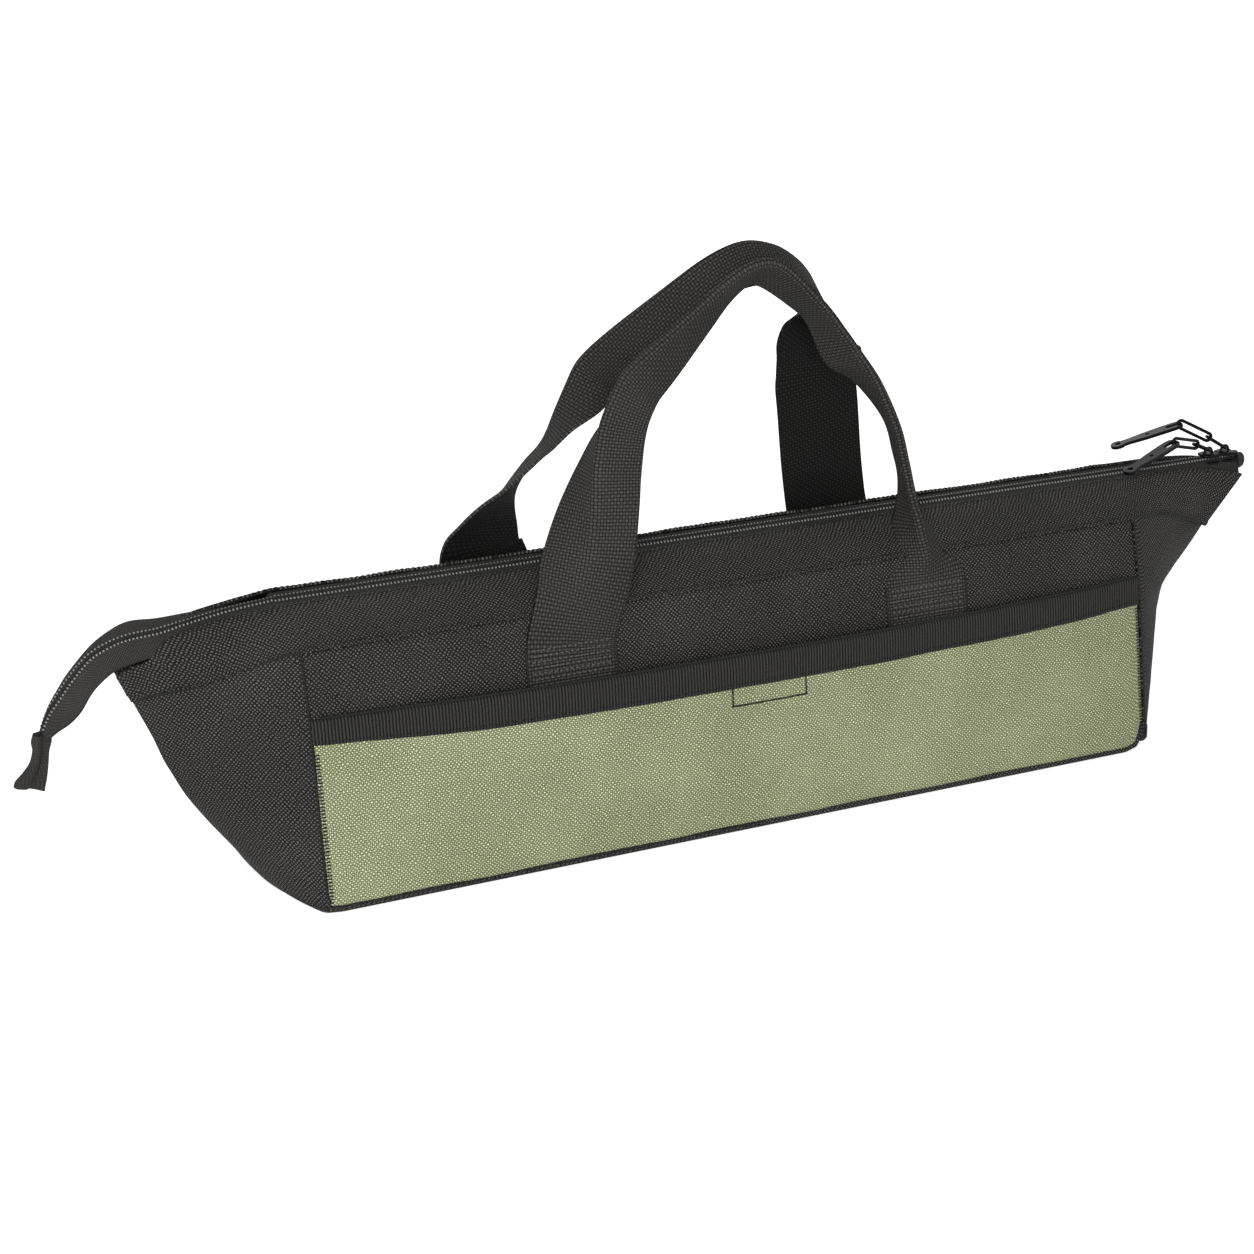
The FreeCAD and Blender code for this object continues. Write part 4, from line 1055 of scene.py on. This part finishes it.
def squared(value, power):
    """Brings a sine or cosine nearer to a square wave."""
    return math.copysign(abs(value) ** power, value)


def tab_cloth(name, rows, replaced):
    """A small folded tab, closed at both ends."""
    mesh = grid_mesh(name, rows, closed=True)
    cap_ends(mesh)
    piece = finish_piece(name, mesh, TAPE, "bag", replaced)


def build_tail_tab():
    """The creased tab that hangs from the zip's tail."""
    last = len(TAIL_TAB) - 1
    rows = []
    for place in steps(0, last, 30):
        x, z, half, thick = spline(TAIL_TAB, place)
        lower = spline(TAIL_TAB, min(place + 0.1, last))
        upper = spline(TAIL_TAB, max(place - 0.1, 0))
        down = Vector((lower[0] - upper[0], 0, lower[1] - upper[1])).normalized()
        wide = Vector((-down.z, 0, down.x))
        row = []
        for k in range(40):
            angle = math.tau * k / 40
            a = squared(math.cos(angle), 0.8) * half
            b = squared(math.sin(angle), 0.6) * thick
            fold = TAIL_TAB_FOLD * math.sin(a / half * 2.6 + 0.6) + ripple(TAIL_TAB_CRINKLE, (x, a, z))
            crease = (0.5 - 1.8 * ease((-a - half * 0.05) / 0.6)) * (1 if math.sin(angle) < 0 else 0)
            row.append(Vector((x, b + fold + crease, z)) + wide * a)
        rows.append(row)
    tab_cloth("tail_tab_cloth", rows, ["zip_tail_tab"])


def build_end_tab():
    """The folded stop at the zip's right end, with a groove down its middle."""
    rows = []
    for share, half, low, high in END_TAB:
        row = []
        for k in range(36):
            angle = math.tau * k / 36
            y = squared(math.cos(angle), 0.6) * half
            z = mix(low, high, 0.5 + 0.5 * squared(math.sin(angle), 0.6))
            z -= END_TAB_GROOVE * math.exp(-(y / 1.2) ** 2) * (1 if math.sin(angle) > 0 else 0.3)
            x = END_TAB_X + END_TAB_LENGTH * share + ripple(END_TAB_WAVE, (y, z, share * 9))
            row.append(Vector((x, y, z + ripple(END_TAB_CRINKLE, (share * 20, y, z)))))
        rows.append(row)
    tab_cloth("end_tab_cloth", rows, ["zip_end_tab"])


# Sliders and their pulls.

def prism(form, outline, low, high, place):
    """A flat piece with straight sides from an outline of (x, y)."""
    face = form.faces.new([form.verts.new(place @ Vector((x, y, low))) for x, y in outline])
    raised = bmesh.ops.extrude_face_region(form, geom=[face])["geom"]
    corners = [item for item in raised if isinstance(item, bmesh.types.BMVert)]
    bmesh.ops.translate(form, verts=corners, vec=(0, 0, high - low))


def curve_mesh(curve):
    """The mesh of a curve, with its doubles merged and its faces turned outwards."""
    scratch = bpy.data.objects.new("scratch", curve)
    bpy.context.scene.collection.objects.link(scratch)
    bpy.context.view_layer.update()
    shape = scratch.evaluated_get(bpy.context.evaluated_depsgraph_get())
    mesh = bpy.data.meshes.new_from_object(shape)
    bpy.data.objects.remove(scratch)
    bpy.data.curves.remove(curve)
    mesh.materials.clear()
    form = bmesh.new()
    form.from_mesh(mesh)
    bmesh.ops.remove_doubles(form, verts=form.verts, dist=0.001)
    bmesh.ops.recalc_face_normals(form, faces=form.faces)
    form.to_mesh(mesh)
    form.free()
    return mesh


def add_line(curve, path, closed=True):
    """Adds a straight-edged line through points of three numbers to a curve."""
    line = curve.splines.new("POLY")
    line.points.add(len(path) - 1)
    for point, place in zip(line.points, path):
        point.co = (*place, 1)
    line.use_cyclic_u = closed


def wire(path, radius, closed=True):
    """A round wire along a path of points."""
    curve = bpy.data.curves.new("wire", "CURVE")
    curve.dimensions = "3D"
    curve.bevel_depth = radius
    curve.bevel_resolution = 3
    curve.use_fill_caps = True
    add_line(curve, path, closed)
    return curve_mesh(curve)


def rounded_loop(left, right, half, radius, segments=8):
    """A closed outline with round corners, from left to right and from -half to half, as (x, y)."""
    points = []
    for cx, cy, start in ((right - radius, half - radius, 0), (left + radius, half - radius, 90),
                          (left + radius, -half + radius, 180), (right - radius, -half + radius, 270)):
        for k in range(segments + 1):
            angle = math.radians(start + 90 * k / segments)
            points.append((cx + radius * math.cos(angle), cy + radius * math.sin(angle)))
    return points


# For each pull: its slider's place, the slopes of its two links and its tab, and its turn, in degrees.
PULLS = {
    "rear": (REAR_X, 31.8, 26.9, -15.6, 14.0),
    "front": (FRONT_X, 24.0, 15.0, -14.0, -14.0),
}
# The links' pitches, half widths and corner radii, and how far the outer link passes its pivots.
INNER_PITCH = 13.5
INNER_LOOP = (2.75, 2.3)
OUTER_PITCH = 19.5
OUTER_LOOP = (2.3, 2.25)
OUTER_LAP = 2.15
LINK_WIRE = 1.02

# The finger tab: its ring's radius and place, and the ends, half widths and corner radii of its openings.
TAB_LENGTH = 44.0
TAB_RING = 4.1
TAB_RING_X = -(TAB_LENGTH - 4.2)
TAB_HOLE_X = -21.1
TAB_SLOT = (-9.7, -0.7, 1.7, 1.6)
TAB_EYE = (-1.85, 1.85, 1.85, 1.84)
TAB_HOLE = (-1.5, 1.5, 1.2, 1.19)
TAB_HALF_THICK = 0.65
TAB_ROUNDING = 0.35
TAB_EDGE = [(-33.0, -2.6), (-24.0, -3.7), (-11.5, -4.3), (-4.0, -4.3), (-1.4, -3.8), (-0.1, -2.8),
            (0.35, -1.2)]

# The sliders: outlines, and the heights that each stands between.
SHIELD_EDGE = [(-5.65, -2.6), (-4.6, -3.7), (-1.5, -4.7), (2.0, -5.0), (4.8, -5.0), (5.65, -4.2),
               (5.65, -0.9)]
SHIELD_NOTCH = (4.9, 0.0)
SLIDER_BEVEL = 0.22
SLIDER_POST = [(2.65, -0.15), (5.5, -0.15), (5.5, 0.15), (2.65, 0.15)]
SLIDER_LIP = [(-4.4, 3.75), (-1.4, 4.72), (4.9, 5.0), (4.9, 4.55), (-1.3, 4.3), (-4.2, 3.4)]
UPPER_PLATE = (150.35, 151.55)
LOWER_PLATE = (145.95, 147.15)
POST_HEIGHTS = (146.4, 151.0)
SIDE_LIP = (149.65, 150.6)
ARCH_HALF = 2.75
ARCH_FOOT = 150.9
ARCH_RISE = 4.1
ARCH_WIRE = 0.8


def other_half(edge):
    """The mirror image of half an outline, in the order that closes it."""
    return [(x, -y) for x, y in reversed(edge)]


def pull_turn(lean, turn):
    """The direction of a link that slopes by an angle and is turned about the upright."""
    return Matrix.Rotation(math.radians(-turn), 4, "Z") @ Matrix.Rotation(math.radians(lean), 4, "Y")


def build_slider(name, x):
    """A slider: shield-shaped plates over and under the teeth, a post, side lips and the pull's arch."""
    form = bmesh.new()
    place = Matrix.Translation((x, 0, 0))
    shield = SHIELD_EDGE + [SHIELD_NOTCH] + other_half(SHIELD_EDGE)
    prism(form, shield, *UPPER_PLATE, place)
    prism(form, shield, *LOWER_PLATE, place)
    prism(form, SLIDER_POST, *POST_HEIGHTS, place)
    for sign in (-1, 1):
        prism(form, [(px, py * sign) for px, py in SLIDER_LIP][::sign], *SIDE_LIP, place)
    arch = []
    for angle in range(0, 181, 12):
        turn = math.radians(angle)
        height = ARCH_FOOT + ARCH_RISE * math.sin(turn) ** 0.8
        arch.append(Vector((x + ARCH_HALF * math.cos(turn), 0, height)))
    form.from_mesh(wire(arch, ARCH_WIRE, closed=False))
    form_piece(name + "_slider_body", form, METAL, name + "_slider", [name + "_slider"],
               bevel=SLIDER_BEVEL)


def build_tab(name, place):
    """The finger tab, drawn flat with its slot, small hole and ring and given round edges."""
    curve = bpy.data.curves.new("tab_outline", "CURVE")
    curve.dimensions = "2D"
    curve.fill_mode = "BOTH"
    curve.extrude = TAB_HALF_THICK
    curve.bevel_depth = TAB_ROUNDING
    curve.bevel_resolution = 2
    outline = []
    for k in range(25):
        angle = math.radians(40 + 280 * k / 24)
        outline.append((TAB_RING_X + TAB_RING * math.cos(angle), TAB_RING * math.sin(angle)))
    outline += TAB_EDGE + other_half(TAB_EDGE)
    eye = [(TAB_RING_X + x, y) for x, y in rounded_loop(*TAB_EYE)]
    hole = [(TAB_HOLE_X + x, y) for x, y in rounded_loop(*TAB_HOLE)]
    for loop in (outline, rounded_loop(*TAB_SLOT), eye, hole):
        add_line(curve, [(x, y, 0) for x, y in loop])
    mesh = curve_mesh(curve)
    mesh.transform(place)
    blade = name + "_tab_blade"
    mesh.name = blade
    piece = finish_piece(blade, mesh, METAL, name + "_pull_tab", [name + "_pull_tab"])
    sharpen = piece.modifiers.new("edges", "WEIGHTED_NORMAL")
    sharpen.keep_sharp = True


def build_pull(name):
    """A slider with its chain: a flat link, an upright link and the finger tab."""
    x, inner, outer, tab, turn = PULLS[name]
    build_slider(name, x)
    place = Matrix.Translation((x, 0, BAIL_Z)) @ pull_turn(inner, turn)
    loop = [place @ Vector((px, py, 0)) for px, py in rounded_loop(-INNER_PITCH, 0, *INNER_LOOP)]
    finish_piece(name + "_inner_ring", wire(loop, LINK_WIRE), METAL, name + "_inner_link",
                 [name + "_inner_link"])
    place = Matrix.Translation(place @ Vector((-INNER_PITCH, 0, 0))) @ pull_turn(outer, turn)
    outline = rounded_loop(-OUTER_PITCH - OUTER_LAP, OUTER_LAP, *OUTER_LOOP)
    loop = [place @ Vector((px, 0, pz)) for px, pz in outline]
    finish_piece(name + "_outer_ring", wire(loop, LINK_WIRE), METAL, name + "_outer_link",
                 [name + "_outer_link"])
    pivot = place @ Vector((-OUTER_PITCH, 0, 0))
    build_tab(name, Matrix.Translation(pivot) @ pull_turn(tab, turn))


# The handles.

HANDLES = {
    # centre line of the webbing: along the bag, height above the fold line, fold of each half and twist in
    # degrees, and how far it stands off the wall
    "front": [(-105, -33, 0, 0, 0), (-105, -17, 0, 0, 0), (-104.5, -3, 0, 0, 0), (-101, 12, 0, 0, 0.8),
              (-96, 26, 6, -6, 1), (-92, 40, 18, -18, 0.5), (-89.5, 54, 28, -28, 0), (-87.5, 70, 38, -38, 0),
              (-86, 85, 47, -47, 0), (-82.5, 106, 58, -58, 0), (-77, 121, 68, -68, 0),
              (-68.5, 134.5, 80, -80, 0), (-53.4, 145.6, 85, -72, 0), (-27, 163, 85, -48, 0),
              (-6, 177, 85, -34, 0), (12, 184, 84, -26, 0), (27, 180, 84, -22, 0), (45, 162, 84, -8, 0),
              (56, 149, 84, -4, 0), (70, 130, 84, -18, 0), (81, 113.5, 85, 2, 0), (92, 88, 87, 19, 0),
              (97, 68, 87, 22, 0), (100.5, 52, 87, 21, 0), (104, 36, 78, 12, 1.5), (106.5, 24, 58, 4, 3),
              (108.5, 12, 30, 0, 3.5), (109, 3, 6, 0, 1), (109, -10, 0, 0, 0), (109, -33, 0, 0, 0)],
    "back": [(-110, -33, 0, 0, 0), (-110, -17, 0, 0, 0), (-111, -2, 0, 0, 0), (-116, 10, 0, 0, 0.5),
             (-121, 25, 0, 6, 0), (-118.5, 38, 2, 24, 0), (-114, 50, 4, 40, 0),
             (-107, 61, 6, 54, 0), (-97, 73, 8, 60, 0), (-87, 84, 10, 63, 0),
             (-80, 101, 24, 71, 0), (-73, 116, 54, 84, 0), (-66, 127.5, 80, 92, 0),
             (-52.8, 139.1, 85, 90, 0), (-24, 158.3, 85, 82, 0), (6, 176.9, 85, 62, 0),
             (26, 183, 84, 48, 0), (44, 180, 84, 38, 0), (58, 172, 84, 30, 0), (68, 161, 84, 24, 0),
             (72.5, 150, 80, 26, 0), (74, 139, 66, 44, 0), (76, 128, 42, 36, 0), (77.5, 117, 18, 15, 0),
             (78, 106, 4, 3, 0), (78.5, 98, 0, 0, 0),
             (81.5, 80, 0, 0, 0), (86, 50, 0, 0, 0), (91.5, 24, 0, 0, 1), (95.5, 9, 0, 0, 0.5),
             (97, -2, 0, 0, 0), (97, -17, 0, 0, 0), (97, -33, 0, 0, 0)],
}
CREASE_HALF = 2.6
FOLD_STEPS = 90
FOLD_LIMIT = 88
STRAP_WAVE = (0.6, 20, 70.0)
STRAP_CRINKLE = (0.3, 8, 74.0)

# Sewn ends: rows of stitches, the lowest row's height, their pitch and shift, and the line down each edge.
SEWN_ROWS = 7
SEWN_FOOT = 97.5
SEWN_PITCH = 3.0
SEWN_SHIFT = 0.9
SEWN_STAND = 0.95
EDGE_LINE = 25.3
EDGE_LINE_STAND = 0.3


def fold_profile(fold):
    """Places from the middle of the webbing to an edge, sideways and down, folded by an angle in degrees."""
    angle = math.radians(clamp(fold, 0, FOLD_LIMIT))
    step = WEBBING / 2 / FOLD_STEPS
    x = y = w = 0.0
    places = []
    for number in range(FOLD_STEPS + 1):
        places.append((x, y))
        slope = angle * ease((w + step / 2) / CREASE_HALF)
        x += math.cos(slope) * step
        y -= math.sin(slope) * step
        w += step
    return places


def handle_rows(side):
    """Rows across the webbing, from one sewn end over the grip to the other."""
    sign = SIDES[side]
    stations = HANDLES[side]
    last = len(stations) - 1
    half = WEBBING / 2

    def route(place):
        along, rise, fold, twist, stand = spline(stations, place)
        slope = GRIP_LEAN if rise > 0 else WALL_LEAN
        scale = 1 / math.hypot(1, slope)
        depth = HINGE_Y - rise * slope * scale + stand
        return Vector((along, sign * depth, HINGE_Z + rise * scale)), rise, fold, twist

    rows = []
    for place in steps(0, last, 230):
        centre, rise, fold, twist = route(place)
        run = (route(min(place + 0.3, last))[0] - route(max(place - 0.3, 0))[0]).normalized()
        tilt = mix(WALL_LEAN, GRIP_LEAN, ease((rise + 6) / 24))
        across = run.cross(Vector((0, sign, tilt)).normalized()).normalized()
        outward = across.cross(run).normalized()
        turn = Matrix.Rotation(math.radians(twist), 3, run)
        across, outward = turn @ across, turn @ outward
        profile = fold_profile(fold)
        row = []
        for w in steps(-half, half, 40):
            x, y = profile[abs(round(w / half * FOLD_STEPS))]
            point = centre + across * math.copysign(x, w) + outward * y
            wave = ripple(STRAP_WAVE, (place * 9, w, sign * 8))
            wave += ripple(STRAP_CRINKLE, (place * 9, w, 0), shift=sign)
            row.append(point + outward * wave * ease((rise - 4) / 30))
        rows.append(row)
    return rows


def on_wall(x, z, sign, stand):
    """A place that stands off the wall behind a handle's sewn end."""
    return Vector((x, sign * (HINGE_Y + (HINGE_Z - z) * WALL_LEAN + stand), z))


def sew_strap_ends(side, sign):
    """Rows of stitches across both sewn ends of a handle, and a line down their edges."""
    form = bmesh.new()
    outward = Vector((0, sign, WALL_LEAN)).normalized()
    for middle in (HANDLES[side][0][0], HANDLES[side][-1][0]):
        for row in range(SEWN_ROWS):
            start = middle + SEWN_SHIFT * (row % 2)
            z = SEWN_FOOT + SEWN_PITCH * row
            path = [on_wall(start + x, z, sign, SEWN_STAND) for x in steps(-23, 22, 30)]
            stitch_run(form, path, [outward] * len(path), pitch=3.0, length=2.1, radius=0.4)
        for edge in (-EDGE_LINE, EDGE_LINE):
            path = [on_wall(middle + edge, z, sign, EDGE_LINE_STAND) for z in steps(96, 117, 10)]
            stitch_run(STITCHES_AND_SHADE_LINES, path, [outward] * len(path), **SEAM_AND_SHADE_LINE)
    return form_piece(side + "_strap_stitches", form, GREY_THREAD, None, [])


def build_handle(side, sign):
    """A handle of webbing, blended from its sewn ends on the bag to its swinging grip."""
    nodes = [side + "_handle", side + "_left_handle_anchor", side + "_right_handle_anchor"]
    # The webbing's inner faces take its darker copy, painted shade.
    strap = sheet(side + "_handle_webbing", handle_rows(side), STRAP, nodes, WEBBING_WALL,
                  body=None, offset=0.0,
                  inside=STRAP_INSIDE_PAINTED_SHADE)
    for piece in (strap, sew_strap_ends(side, sign)):
        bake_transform(piece)


# Stage, light and camera, in metres.

FLOOR_HALF = 6.0
FLOOR_GLOW = 0.6
GLOW_START = 0.5
GLOW_SLOPE = 0.5
SKY_LIGHT = 0.33
LAMP_TARGET = Vector((0, 0, 0.1))
LAMPS = {
    # place, size and power
    "key": ((-1.2, -2.1, 1.0), 1.3, 62.0),
    "fill": ((1.5, -1.6, 1.2), 1.2, 1.5),
    "back": ((0.6, 2.0, 1.4), 1.3, 14.0),
}
CAMERA_PLACE = (-0.6122, -1.1921, 0.5978)
CAMERA_YAW = math.radians(25.14)
CAMERA_PITCH = math.radians(20.62)
FOCAL_PIXELS = 2600
PHOTO_PIXELS = 1254
SENSOR = 36.0


def build_floor():
    """A pale floor that glows for the camera, more so far away, and keeps the bag's shadow."""
    form = bmesh.new()
    bmesh.ops.create_grid(form, x_segments=2, y_segments=2, size=FLOOR_HALF)
    mesh = form_mesh("floor", form)
    floor = bpy.data.objects.new("floor", mesh)
    bpy.context.scene.collection.objects.link(floor)
    material, tree, shader = blank_material("pale_floor")
    set_shader(shader, Base_Color=(0.94, 0.94, 0.94, 1.0), Roughness=0.9, Specular_IOR_Level=0.1,
               Emission_Color=(1.0, 1.0, 1.0, 1.0))
    rays = node(tree, "ShaderNodeLightPath").outputs
    seen = calc(tree, "MAXIMUM", rays["Is Camera Ray"], rays["Is Glossy Ray"])
    place = node(tree, "ShaderNodeTexCoord").outputs["Object"]
    distance = node(tree, "ShaderNodeVectorMath", {0: place}, operation="LENGTH").outputs["Value"]
    far = calc(tree, "MULTIPLY", calc(tree, "SUBTRACT", distance, GLOW_START, True), GLOW_SLOPE)
    glow = calc(tree, "MULTIPLY", seen, calc(tree, "ADD", far, FLOOR_GLOW))
    tree.links.new(glow, shader.inputs["Emission Strength"])
    mesh.materials.append(material)


def build_sky():
    """A dim even sky that is white where it is seen."""
    world = bpy.data.worlds.new("studio")
    world.use_nodes = True
    tree = world.node_tree
    sky = tree.nodes["Background"]
    sky.inputs["Color"].default_value = (1, 1, 1, 1)
    rays = node(tree, "ShaderNodeLightPath").outputs
    clear = calc(tree, "MAXIMUM", rays["Is Camera Ray"], rays["Is Transmission Ray"])
    clear = calc(tree, "MAXIMUM", clear, rays["Is Glossy Ray"])
    white = calc(tree, "ADD", calc(tree, "MULTIPLY", clear, 1 - SKY_LIGHT), SKY_LIGHT)
    tree.links.new(white, sky.inputs["Strength"])
    bpy.context.scene.world = world
    bpy.context.scene.view_settings.view_transform = "Standard"


def build_lamps():
    """Three soft studio lamps."""
    for name, (place, size, power) in LAMPS.items():
        lamp = bpy.data.lights.new(name, "AREA")
        lamp.size = size
        lamp.energy = power
        light = bpy.data.objects.new(name, lamp)
        light.location = place
        light.rotation_euler = (LAMP_TARGET - Vector(place)).to_track_quat("-Z", "Y").to_euler()
        bpy.context.scene.collection.objects.link(light)


def build_camera():
    """The camera of the photograph, fitted to the bag's corners, seams and zip line."""
    right = Vector((math.cos(CAMERA_YAW), -math.sin(CAMERA_YAW), 0))
    level = math.cos(CAMERA_PITCH)
    ahead = Vector((math.sin(CAMERA_YAW) * level, math.cos(CAMERA_YAW) * level, -math.sin(CAMERA_PITCH)))
    above = right.cross(ahead)
    lens = bpy.data.cameras.new("camera")
    lens.sensor_width = SENSOR
    lens.lens = SENSOR * FOCAL_PIXELS / PHOTO_PIXELS
    lens.clip_end = 50.0
    camera = bpy.data.objects.new("camera", lens)
    turn = Matrix((right, above, -ahead)).transposed().to_4x4()
    camera.matrix_world = Matrix.Translation(CAMERA_PLACE) @ turn
    bpy.context.scene.collection.objects.link(camera)
    bpy.context.scene.camera = camera


build_camera()
build_floor()
build_sky()
build_lamps()
for side_name, side_sign in SIDES.items():
    build_side(side_name, side_sign)
for end_name in ENDS:
    build_end(end_name)
build_base()
build_pocket_tack()
for side_name, side_sign in SIDES.items():
    build_zip_tape(side_name, side_sign)
for side_name, side_sign in SIDES.items():
    build_coil(side_name, side_sign)
build_tail_tab()
build_end_tab()
for pull_name in PULLS:
    build_pull(pull_name)
for side_name, side_sign in SIDES.items():
    build_handle(side_name, side_sign)
# All stitches in one piece, with the dark lines of painted shade.
form_piece("stitching_and_painted_shade_lines", STITCHES_AND_SHADE_LINES, THREAD_AND_SHADE_LINES, "bag", [])
# The board shows as its solid is, with its own finish.
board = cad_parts["base_board"]
board.data.materials.clear()
board.data.materials.append(BOARD)
